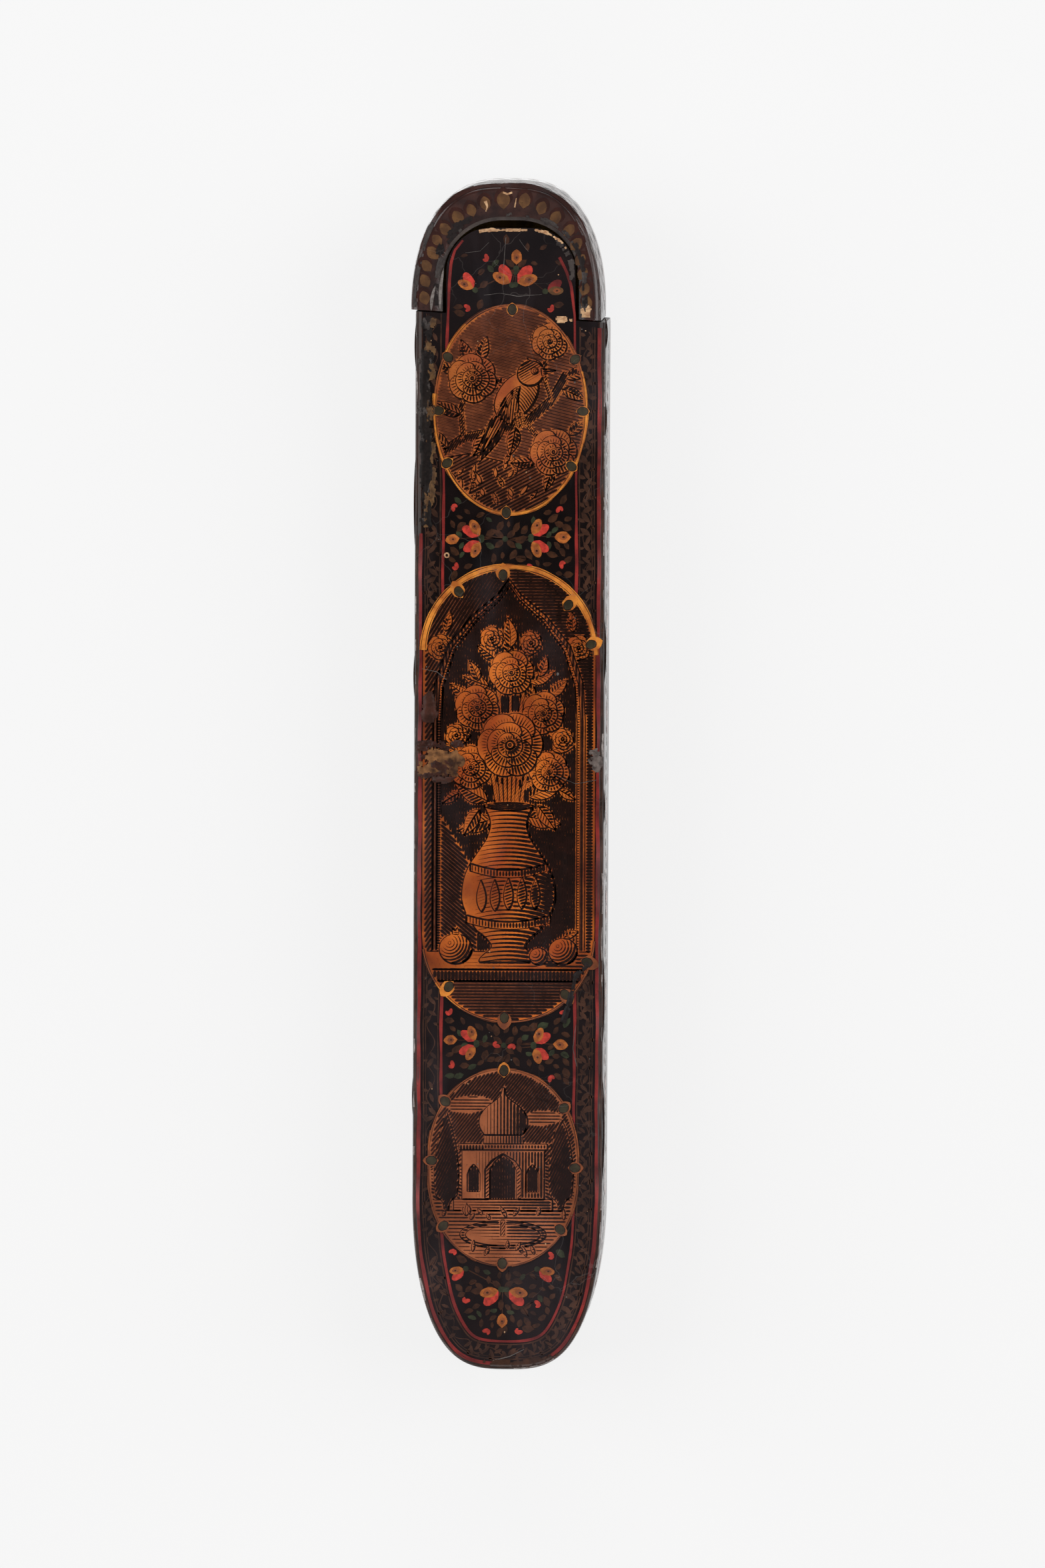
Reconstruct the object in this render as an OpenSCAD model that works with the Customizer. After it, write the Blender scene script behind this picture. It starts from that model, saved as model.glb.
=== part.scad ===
// Lacquered pasteboard pen box: a sleeve with a round foot, and a drawer whose round cap closes it.
// The drawer carries a brass inkwell, reed pens, a penknife and a nib rest.
// Millimetres. The box lies on its back: +Z leaves the painted face and +Y points at the drawer's cap.

/* [Case] */
// Length of the closed box, from the foot's tip to the cap's tip
box_length = 230; // [215:1:280]
// Width of the case
box_width = 36.8; // [36:0.2:50]
// Height of the case
box_height = 33; // [32:0.5:45]
// Thickness of the pasteboard wall
case_wall = 2; // [1.4:0.1:2.4]
// Radius of the long edges
edge_round = 1.4; // [0.6:0.1:1.8]
// Length over which the foot rounds off
foot_rise = 33; // [24:1:44]
// Length over which the cap rounds off
cap_rise = 24.5; // [20:0.5:25.5]

/* [Mouth and tongue] */
// Distance from the cap's tip to the mouth, on the centre line
mouth_setback = 25.8; // [22:0.2:34]
// How much further from the tip the mouth lies on the right than on the left
mouth_skew = 2; // [0:0.2:3]
// Gap between the cap and the mouth when closed
mouth_gap = 0.3; // [0.2:0.1:1]
// Length of the tongues beyond the mouth
tongue_length = 17.2; // [10:0.2:19]
// Width of the tongues
tongue_width = 25; // [20:0.5:27]
// Corner radius of the tongues
tongue_round = 8.5; // [4:0.5:9.5]
// Gap between a tongue's sides and the cap's notch
notch_side_gap = 0.7; // [0.6:0.1:1.2]
// Gap between a tongue's tip and the cap's notch
notch_tip_gap = 1.5; // [0.4:0.1:2]
// Corner radius of the cap's notch
notch_round = 11.5; // [9:0.5:11.5]
// How far the cap sits to the left of the case
cap_shift = 0.9; // [0:0.1:1.4]

/* [Drawer] */
// Running gap between the drawer and the case
drawer_gap = 0.3; // [0.2:0.05:0.6]
// Thickness of the drawer's wall
drawer_wall = 1.6; // [1:0.1:2]
// Thickness of the drawer's floor
drawer_floor = 1.6; // [1:0.1:2.4]
// Height of the drawer, from its underside to its rim
drawer_height = 23.5; // [18:0.5:27]
// Thickness of the lining paper on the drawer's floor
lining_paper = 0.2; // [0.1:0.05:0.5]
// Thickness of the partition beside the inkwell
partition_wall = 1.2; // [0.8:0.1:2]
// Height of the partition above the drawer's floor
partition_height = 12; // [8:0.5:16]

/* [Pasted prints] */
// Thickness of a print under its varnish
print_paper = 0.15; // [0.1:0.05:0.4]
// Length and width of the upper print, and the length of each of its round ends
upper_print_size = [40.4, 29.4, 20.2];
// Distance from the cap's tip to the middle of the upper print
upper_print_from_tip = 43.7; // [40:0.1:50]
// Length and width of the central print, and the length of each of its round ends
central_print_size = [88.2, 33.4, 17];
// Distance from the cap's tip to the middle of the central print
central_print_from_tip = 118.3; // [112:0.1:124]
// Length and width of the lower print, and the length of each of its round ends
lower_print_size = [38.2, 29, 17];
// Distance from the cap's tip to the middle of the lower print
lower_print_from_tip = 190.7; // [184:0.1:196]
// How far the lower print was pasted to the left of the middle
lower_print_shift = 0.8; // [0:0.1:2]

/* [Inkwell] */
// Length of the inkwell, from its round front to its flat back
inkwell_length = 38; // [34:0.5:42]
// Height of the inkwell's tub
inkwell_height = 10; // [8:0.5:11]
// Gap round the inkwell in the drawer
inkwell_gap = 0.25; // [0.1:0.05:0.6]
// Thickness of the inkwell's brass sheet
inkwell_sheet = 0.8; // [0.5:0.1:1.2]
// Radius of the inkwell's mouth
ink_mouth_r = 5; // [4:0.1:5.5]
// Distance from the inkwell's front to the middle of its mouth
ink_mouth_setback = 17; // [14:0.5:20]
// Height of the collar round the mouth
collar_height = 1; // [0.6:0.1:1.5]
// Thickness of the collar
collar_wall = 0.8; // [0.5:0.1:1]
// Thickness of the lid
lid_thickness = 1; // [0.8:0.1:1.4]
// Gap between the lid and the collar
lid_gap = 0.1; // [0.05:0.05:0.3]
// Radius of the hinge pin
hinge_pin_r = 0.6; // [0.4:0.05:0.8]
// Radial clearance between the pin and the lid's knuckle
hinge_clearance = 0.05; // [0.02:0.01:0.1]
// Wall of the hinge's knuckles
knuckle_wall = 0.6; // [0.4:0.05:0.8]
// Length of each hinge knuckle
knuckle_length = 2.6; // [2:0.1:4]
// Height of the wadding of raw silk in the ink
wadding_height = 5.5; // [3:0.5:6.5]
// Radius of the wadding
wadding_r = 9; // [6:0.5:11]

/* [Writing tools] */
// Diameters of the broad, medium and fine pens
pen_diameters = [6, 5.6, 5.2];
// Lengths of the broad, medium and fine pens
pen_lengths = [150, 144, 138];
// Nib widths of the broad, medium and fine pens
nib_widths = [3.2, 2.2, 1.4];
// Length of a pen's cut nib
nib_length = 20; // [14:1:26]
// Gap between tools that lie side by side
tool_gap = 0.3; // [0.2:0.1:0.8]
// Gap between the tools and the partition
tool_end_gap = 6; // [3:0.5:10]
// Length of the penknife's handle
handle_length = 82; // [70:1:90]
// Largest radius of the penknife's handle
handle_r = 3.8; // [3.2:0.1:4]
// Length of the penknife's bolster
bolster_length = 5; // [3:0.5:8]
// Length of the penknife's blade beyond its bolster
blade_length = 46; // [36:1:52]
// Width of the blade
blade_width = 7; // [5:0.2:7.4]
// Thickness of the blade
blade_thickness = 1; // [0.6:0.1:1.4]
// Length, width and thickness of the nib rest
nib_rest_size = [92, 13, 2.4];

/* [Hidden] */

// Exponents of the superellipses that round the cap and the foot: across the box, and along it
cap_power = 2.8;
foot_power = 3.1;
tip_power = 2.1;
// Straight runs in each round end, and levels in each rounded edge
end_steps = 32;
round_levels = 3;
// Straight runs in each round end of a print
oval_steps = 28;
oval_power = 2.05;
// Reach of a cutting shape beyond what it cuts
over = 2;
$fn = 64;

tip_y = box_length / 2;
mouth_y = tip_y - mouth_setback;
roof_z = box_height - case_wall;

// The drawer, and the room inside it
drawer_inset = case_wall + drawer_gap;
drawer_z = case_wall + drawer_gap;
room_inset = drawer_inset + drawer_wall;
room_z = drawer_z + drawer_floor;
room_half = box_width / 2 - room_inset;

// The inkwell, from its front to the partition behind it
inkwell_inset = room_inset + inkwell_gap;
inkwell_front_y = tip_y - inkwell_inset;
inkwell_back_y = inkwell_front_y - inkwell_length;
inkwell_top_z = room_z + inkwell_height;
plate_top_z = inkwell_top_z + inkwell_sheet;
ink_mouth_y = inkwell_front_y - ink_mouth_setback;
collar_r = ink_mouth_r + collar_wall;
lid_z = plate_top_z + collar_height + lid_gap;
knuckle_r = hinge_pin_r + hinge_clearance + knuckle_wall;
hinge_y = ink_mouth_y - collar_r - knuckle_r;
hinge_z = max(lid_z + lid_thickness / 2, plate_top_z + knuckle_r + 3 * lid_gap);
hinge_half = 1.5 * knuckle_length + tool_gap;
partition_y = inkwell_back_y - inkwell_gap - partition_wall;

// The tools, laid from the left wall to the right
tool_z = room_z + lining_paper;
pen_z = tool_z + nib_rest_size[2] + lid_gap;
tools_end_y = partition_y - tool_end_gap;
pen_x = [for (i = 0, x = tool_gap - room_half; i < 3; x = x + pen_diameters[i] + tool_gap, i = i + 1)
         x + pen_diameters[i] / 2];
pens_right = pen_x[2] + pen_diameters[2] / 2;
nib_rest_x = (tool_gap - room_half + pens_right) / 2;
knife_x = room_half - tool_gap - handle_r;
knife_z = tool_z + handle_r + lid_gap;
tang_length = 18;
tang_width = 2.4;
tang_fit = 0.05;

// One round end, from its right side over the tip to its left side
function end_points(half, rise, start_y, way, power) = [
    for (i = [0 : end_steps])
        let (t = 180 * i / end_steps, c = cos(t), s = sin(t))
        [way * sign(c) * half * pow(abs(c), 2 / power),
         start_y + way * rise * pow(s, 2 / tip_power)]];

// Plan of the whole closed box, taken in by inset
function box_outline(inset) = concat(
    end_points(box_width / 2 - inset, cap_rise - inset, tip_y - cap_rise, 1, cap_power),
    end_points(box_width / 2 - inset, foot_rise - inset, foot_rise - tip_y, -1, foot_power));

// Height of the mouth's slanting edge at x
function mouth_at(x) = mouth_y - mouth_skew * x / box_width;

// Plan of a print: two half ovals of the given length, with straight sides between them
function print_outline(size) = [
    for (i = [0 : oval_steps])
        let (t = 180 * i / oval_steps, c = cos(t), s = sin(t))
        [size[1] / 2 * sign(c) * pow(abs(c), 2 / oval_power),
         size[0] / 2 - size[2] + size[2] * pow(s, 2 / oval_power)]];

// A slab of the box's plan between two heights
module box_slab(inset, low, high) {
    translate([0, 0, low])
        linear_extrude(height = high - low)
            polygon(box_outline(inset));
}

// Inset and height of each level of a rounded edge, from the flat face out to the side
function edge_levels() = [
    for (level = [0 : round_levels])
        let (angle = 90 * level / round_levels)
        [edge_round * (1 - sin(angle)), edge_round * (1 - cos(angle))]];

// The whole box as a solid with its long edges rounded
module rounded_box() {
    levels = edge_levels();
    last = len(levels) - 1;
    rings = concat(
        [for (i = [0 : last]) [levels[i][0], levels[i][1]]],
        [for (i = [last : -1 : 0]) [levels[i][0], box_height - levels[i][1]]]);
    count = len(box_outline(0));
    points = [for (ring = rings) for (p = box_outline(ring[0])) [p[0], p[1], ring[1]]];
    sides = [
        for (k = [0 : len(rings) - 2]) for (i = [0 : count - 1])
            let (a = k * count + i, b = k * count + (i + 1) % count)
            each [[a, a + count, b], [b, a + count, b + count]]];
    floor_face = [[for (i = [0 : count - 1]) i]];
    roof_face = [[for (i = [count - 1 : -1 : 0]) (len(rings) - 1) * count + i]];
    polyhedron(points, concat(floor_face, sides, roof_face));
}

// Plan of a tongue that runs out of the mouth, grown at its sides and tip, with corners of radius r
module tongue_plan(side, tip, r) {
    half = tongue_width / 2 + side;
    end_y = mouth_y + tongue_length + tip;
    start_y = mouth_y - mouth_skew - over;
    translate([-half, start_y])
        square([2 * half, end_y - r - start_y]);
    translate([r - half, start_y])
        square([2 * (half - r), end_y - start_y]);
    for (x = [r - half, half - r])
        translate([x, end_y - r])
            circle(r);
}

// Plan of all that lies beyond the mouth's slanting edge, less the tongue
module beyond_mouth(gap, side, tip, r) {
    difference() {
        polygon([[-box_width, mouth_at(-box_width) + gap], [box_width, mouth_at(box_width) + gap],
                 [box_width, box_length], [-box_width, box_length]]);
        tongue_plan(side, tip, r);
    }
}

// Extrudes a plan through the whole height of the box, and past it
module through_box() {
    translate([0, 0, -over])
        linear_extrude(height = box_height + 2 * over)
            children();
}

module case_sleeve() {
    color("#2a1712")
        difference() {
            rounded_box();
            through_box() beyond_mouth(0, 0, 0, tongue_round);
            box_slab(case_wall, case_wall, roof_z);
        }
}

module pasted_print(size, from_tip, shift = 0) {
    half = print_outline(size);
    color("#a4521c")
        translate([-shift, tip_y - from_tip, box_height])
            linear_extrude(height = print_paper)
                polygon(concat(half, [for (p = half) -p]));
}

module upper_print() { pasted_print(upper_print_size, upper_print_from_tip); }
module central_print() { pasted_print(central_print_size, central_print_from_tip); }
module lower_print() { pasted_print(lower_print_size, lower_print_from_tip, lower_print_shift); }

module drawer_trough() {
    color("#6e1f18")
        difference() {
            box_slab(drawer_inset, drawer_z, drawer_z + drawer_height);
            box_slab(room_inset, room_z, drawer_z + drawer_height + over);
        }
}

module drawer_cap() {
    color("#241612")
        difference() {
            intersection() {
                translate([-cap_shift, 0, 0]) rounded_box();
                through_box() beyond_mouth(mouth_gap, notch_side_gap, notch_tip_gap, notch_round);
            }
            box_slab(drawer_inset, drawer_z, roof_z);
        }
}

module floor_paper() {
    color("#8f6a48")
        intersection() {
            box_slab(room_inset, room_z, room_z + lining_paper);
            translate([-box_width / 2, -box_length, 0])
                cube([box_width, box_length + partition_y, box_height]);
        }
}

module ink_partition() {
    color("#6e1f18")
        intersection() {
            box_slab(room_inset, room_z, room_z + partition_height);
            translate([-box_width / 2, partition_y, 0])
                cube([box_width, partition_wall, box_height]);
        }
}

// Slab of the inkwell's own plan: round at the front, flat at the back
module inkwell_slab(inset, low, high) {
    intersection() {
        box_slab(inkwell_inset + inset, low, high);
        translate([-box_width / 2, inkwell_back_y + inset, low - over])
            cube([box_width, box_length, high - low + 2 * over]);
    }
}

module inkwell_tub() {
    color("#b08d4a")
        difference() {
            inkwell_slab(0, room_z, inkwell_top_z);
            inkwell_slab(inkwell_sheet, room_z + inkwell_sheet, inkwell_top_z + over);
        }
}

// A cylinder along X, centred on the hinge's axis
module hinge_cylinder(r, length, x = 0) {
    translate([x - length / 2, hinge_y, hinge_z])
        rotate([0, 90, 0])
            cylinder(r = r, h = length);
}

module inkwell_plate() {
    ear_x = knuckle_length + tool_gap;
    color("#b08d4a")
        difference() {
            union() {
                inkwell_slab(0, inkwell_top_z, plate_top_z);
                translate([0, ink_mouth_y, plate_top_z - inkwell_sheet / 2])
                    cylinder(r = collar_r, h = collar_height + inkwell_sheet / 2);
                for (x = [-ear_x, ear_x]) {
                    hinge_cylinder(knuckle_r, knuckle_length, x);
                    translate([x - knuckle_length / 2, hinge_y - knuckle_r, inkwell_top_z])
                        cube([knuckle_length, 2 * knuckle_r, hinge_z - inkwell_top_z]);
                }
            }
            translate([0, ink_mouth_y, inkwell_top_z - over])
                cylinder(r = ink_mouth_r, h = box_height);
            hinge_cylinder(hinge_pin_r, box_width);
        }
}

module inkwell_hinge_pin() {
    color("#8c6a32")
        hinge_cylinder(hinge_pin_r, 2 * hinge_half);
}

module ink_wadding() {
    bulge = wadding_height / 2;
    color("#17120f")
        translate([0, ink_mouth_y, room_z + inkwell_sheet])
            rotate_extrude()
                union() {
                    square([wadding_r - bulge, wadding_height]);
                    translate([wadding_r - bulge, bulge])
                        intersection() {
                            circle(bulge);
                            translate([0, -bulge]) square([bulge, wadding_height]);
                        }
                }
}

module inkwell_lid() {
    tab_width = knuckle_length;
    color("#b08d4a")
        difference() {
            union() {
                translate([0, ink_mouth_y, lid_z])
                    cylinder(r = collar_r, h = lid_thickness);
                translate([-tab_width / 2, hinge_y, lid_z])
                    cube([tab_width, ink_mouth_y - hinge_y, lid_thickness]);
                hinge_cylinder(knuckle_r, knuckle_length);
            }
            hinge_cylinder(hinge_pin_r + hinge_clearance, box_width);
        }
}

module inkwell_lid_knob() {
    knob_r = 1.5;
    stem_r = 0.8;
    color("#8c6a32")
        translate([0, ink_mouth_y, lid_z + lid_thickness])
            union() {
                cylinder(r = knob_r, h = 0.4);
                cylinder(r = stem_r, h = 1.2);
                translate([0, 0, 1.2 + stem_r / 2])
                    sphere(r = 1.2);
            }
}

// A reed cut to a broad nib, lying along Y with its nib towards the inkwell
module reed_pen(i) {
    d = pen_diameters[i];
    length = pen_lengths[i];
    nib_y = tools_end_y;
    scoop_r = 1.6 * nib_length;
    nib_depth = 0.3 * d;
    slope = atan2((d - nib_widths[i]) / 2, 0.6 * nib_length);
    color("#9c6b38")
        translate([pen_x[i], nib_y, pen_z + d / 2])
            difference() {
                rotate([90, 0, 0]) cylinder(d = d, h = length);
                // Scoop that opens the top of the nib
                translate([-d, 0, scoop_r + nib_depth - d / 2])
                    rotate([0, 90, 0])
                        cylinder(r = scoop_r, h = 2 * d, $fn = 96);
                // Shoulders that narrow it to its width
                for (way = [-1, 1])
                    translate([way * nib_widths[i] / 2, 0, -d])
                        rotate([0, 0, way * slope])
                            translate([way > 0 ? 0 : -d, -nib_length, 0])
                                cube([d, nib_length + d, 2 * d]);
                // Hollow at the reed's tail
                translate([0, over - length, 0])
                    rotate([90, 0, 0])
                        cylinder(d = 0.45 * d, h = 3 * over);
            }
}

module reed_pen_broad() { reed_pen(0); }
module reed_pen_medium() { reed_pen(1); }
module reed_pen_fine() { reed_pen(2); }

// The penknife lies along Y with its blade towards the foot; its bolster starts at knife_y
knife_y = tools_end_y - handle_length;

module knife_tang(fit) {
    translate([knife_x - tang_width / 2 - fit, knife_y - over, knife_z - blade_thickness / 2 - fit])
        cube([tang_width + 2 * fit, tang_length + over + fit, blade_thickness + 2 * fit]);
}

// Profile of the handle as radius against distance from the bolster
handle_profile = [[0, 0], [0.82 * handle_r, 0], [0.9 * handle_r, 0.15 * handle_length],
                  [handle_r, 0.55 * handle_length], [0.92 * handle_r, 0.9 * handle_length],
                  [0.7 * handle_r, 0.98 * handle_length], [0.3 * handle_r, handle_length],
                  [0, handle_length]];

module penknife_handle() {
    color("#e2d6b8")
        difference() {
            translate([knife_x, knife_y, knife_z])
                rotate([-90, 0, 0])
                    rotate_extrude()
                        polygon(handle_profile);
            knife_tang(tang_fit);
        }
}

module penknife_bolster() {
    color("#b08d4a")
        difference() {
            translate([knife_x, knife_y, knife_z])
                rotate([90, 0, 0])
                    cylinder(r = 0.88 * handle_r, h = bolster_length);
            translate([0, -bolster_length, 0]) knife_tang(tang_fit);
            knife_tang(tang_fit);
        }
}

module penknife_blade() {
    heel_y = knife_y - bolster_length;
    color("#9aa0a4")
        union() {
            translate([knife_x, heel_y, knife_z - blade_thickness / 2])
                linear_extrude(height = blade_thickness)
                    polygon([[-blade_width / 2, 0], [blade_width / 2, 0],
                             [blade_width / 2, -0.7 * blade_length],
                             [0.3 * blade_width, -0.9 * blade_length],
                             [-0.2 * blade_width, -blade_length],
                             [-blade_width / 2, -0.97 * blade_length]]);
            translate([knife_x - tang_width / 2, heel_y - tang_fit, knife_z - blade_thickness / 2])
                cube([tang_width, bolster_length + tang_length, blade_thickness]);
        }
}

module nib_rest() {
    groove_r = 6;
    groove_depth = 0.8;
    length = nib_rest_size[0];
    color("#d9c9a3")
        translate([nib_rest_x, tools_end_y - nib_length - length / 2, tool_z])
            difference() {
                translate([-nib_rest_size[1] / 2, -length / 2, 0])
                    cube([nib_rest_size[1], length, nib_rest_size[2]]);
                for (way = [-1, 1])
                    translate([-nib_rest_size[1], way * length / 2, nib_rest_size[2]])
                        rotate([0, 90, 0])
                            cylinder(r = groove_depth, h = 2 * nib_rest_size[1]);
            }
}

case_sleeve();
upper_print();
central_print();
lower_print();
drawer_trough();
drawer_cap();
floor_paper();
ink_partition();
inkwell_tub();
inkwell_plate();
inkwell_hinge_pin();
ink_wadding();
inkwell_lid();
inkwell_lid_knob();
reed_pen_broad();
reed_pen_medium();
reed_pen_fine();
penknife_handle();
penknife_bolster();
penknife_blade();
nib_rest();
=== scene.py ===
import logging
import math
import random
from dataclasses import dataclass, field
from enum import Enum
from functools import cached_property
from typing import Callable, Iterable, Sequence

import bpy
import numpy as np
from mathutils import Matrix, Vector


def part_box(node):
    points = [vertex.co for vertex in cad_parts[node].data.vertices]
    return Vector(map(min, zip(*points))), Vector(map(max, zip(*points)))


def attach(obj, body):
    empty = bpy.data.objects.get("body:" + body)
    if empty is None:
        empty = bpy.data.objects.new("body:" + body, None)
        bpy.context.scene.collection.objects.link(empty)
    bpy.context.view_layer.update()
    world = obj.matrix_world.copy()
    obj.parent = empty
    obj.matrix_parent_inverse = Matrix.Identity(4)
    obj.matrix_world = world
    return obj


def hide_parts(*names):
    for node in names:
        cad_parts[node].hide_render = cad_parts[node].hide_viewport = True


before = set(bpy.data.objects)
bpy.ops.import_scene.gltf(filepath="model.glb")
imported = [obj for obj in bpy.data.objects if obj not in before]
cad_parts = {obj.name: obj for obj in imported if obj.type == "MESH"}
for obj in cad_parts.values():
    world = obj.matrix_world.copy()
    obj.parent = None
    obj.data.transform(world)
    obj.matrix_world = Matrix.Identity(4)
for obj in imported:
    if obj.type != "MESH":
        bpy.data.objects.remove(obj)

logging.basicConfig(level=logging.INFO, format="%(name)s: %(message)s")
LOG = logging.getLogger("pen_box")
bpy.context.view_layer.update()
MM = 0.001
# Height of the underside, so that the paint on it stays above the floor
REST_LIFT = 0.06
# Height of the first coat of paint above its ground, and of each coat on the one before
FIRST_COAT = 0.02
COAT = 0.008
# Further height of paint on the upright walls, where flat strokes bridge the curve of the ends
WALL_COAT = 0.05
# The record's material slot of all the lacquered board
BOARD = "lacquered_board"

Triple = tuple[float, float, float]
Point = tuple[float, float]
Array = np.ndarray
Piece = bpy.types.Object
Material = bpy.types.Material
Lift = float | Array
Place = Callable[[Array, Lift], Array]


class Paint(Enum):
    """Colours of the ornament, each painted on a sheet of its own."""

    BAND = "border_ground"
    RULE = "red_rules"
    ROSE = "rose_petals"
    ORANGE = "orange_petals"
    BROWN = "brown_leaves"
    SCROLL = "scroll_leaves"
    GREEN = "green_leaves"
    HALO = "drop_shadows"
    GOLD = "gold_drops"
    RIM = "gilt_rims"
    RUST = "dull_rims"
    JEWEL = "green_drops"
    DARK = "dark_touches"
    PALE = "bare_board"
    HAIR = "hairline_cracks"
    CHIP_GLINT = "edge_chips_and_glints"


class Hatch(Enum):
    """Ways an engraver lays lines over a figure."""

    STRAIGHT = "straight"
    RADIAL = "radial"
    RINGS = "rings"


# Finishes


def srgb(code: str) -> Triple:
    """Turns a colour written as #rrggbb into linear red, green and blue."""
    parts = [int(code[i:i + 2], 16) / 255 for i in (1, 3, 5)]
    return tuple(p / 12.92 if p <= 0.04045 else ((p + 0.055) / 1.055) ** 2.4 for p in parts)


@dataclass
class NodeBench:
    """Adds and links nodes in one shader tree."""

    tree: bpy.types.NodeTree

    def add(self, kind: str, values: dict | None = None, **settings: object) -> bpy.types.Node:
        """Adds a node.

        Args:
            kind: The node's type, without its ShaderNode prefix.
            values: Values for its input sockets, by name or number.
            settings: Values for the node's own properties.

        Returns:
            The new node.
        """
        name = kind if kind.startswith("Node") else "ShaderNode" + kind
        node = self.tree.nodes.new(name)
        for key, value in settings.items():
            setattr(node, key, value)
        for key, value in (values or {}).items():
            self.feed(value, node.inputs[key])
        return node

    def feed(self, source: object, target: bpy.types.NodeSocket) -> None:
        """Links a socket to a target, or sets the target to a value.

        Args:
            source: A socket, a number, a vector or a linear colour.
            target: The input socket.
        """
        if isinstance(source, bpy.types.NodeSocket):
            self.tree.links.new(source, target)
        elif isinstance(source, tuple) and target.type == "RGBA":
            target.default_value = (*source[:3], 1.0)
        else:
            target.default_value = source

    def math(self, operation: str, first: object, second: object = 0.0, clamp: bool = False) -> object:
        """Adds a Math node on sockets or numbers and returns its output."""
        return self.add("Math", {0: first, 1: second}, operation=operation, use_clamp=clamp).outputs[0]

    def noise(self, vector: object, scale: object, detail: float = 3.0, distortion: float = 0.0) -> object:
        """Adds a Noise Texture and returns its value's socket."""
        values = {"Vector": vector, "Scale": scale, "Detail": detail, "Distortion": distortion}
        return self.add("TexNoise", values).outputs["Fac"]

    def span(self, value: object, low: float, high: float, to_low: float = 0.0,
             to_high: float = 1.0) -> object:
        """Maps a value's span onto another, clamped, and returns the socket."""
        ends = {0: value, 1: low, 2: high, 3: to_low, 4: to_high}
        return self.add("MapRange", ends, clamp=True).outputs[0]

    def mix(self, factor: object, first: object, second: object) -> object:
        """Mixes two colours, each a socket or a linear colour, and returns the socket."""
        return self.add("Mix", {0: factor, 6: first, 7: second}, data_type="RGBA").outputs[2]

    def coords(self, scale: Sequence[float] = (1, 1, 1)) -> object:
        """Returns a socket of Object coordinates, stretched along each axis by scale."""
        source = self.add("TexCoord").outputs["Object"]
        return self.add("Mapping", {"Vector": source, "Scale": tuple(scale)}).outputs["Vector"]


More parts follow.
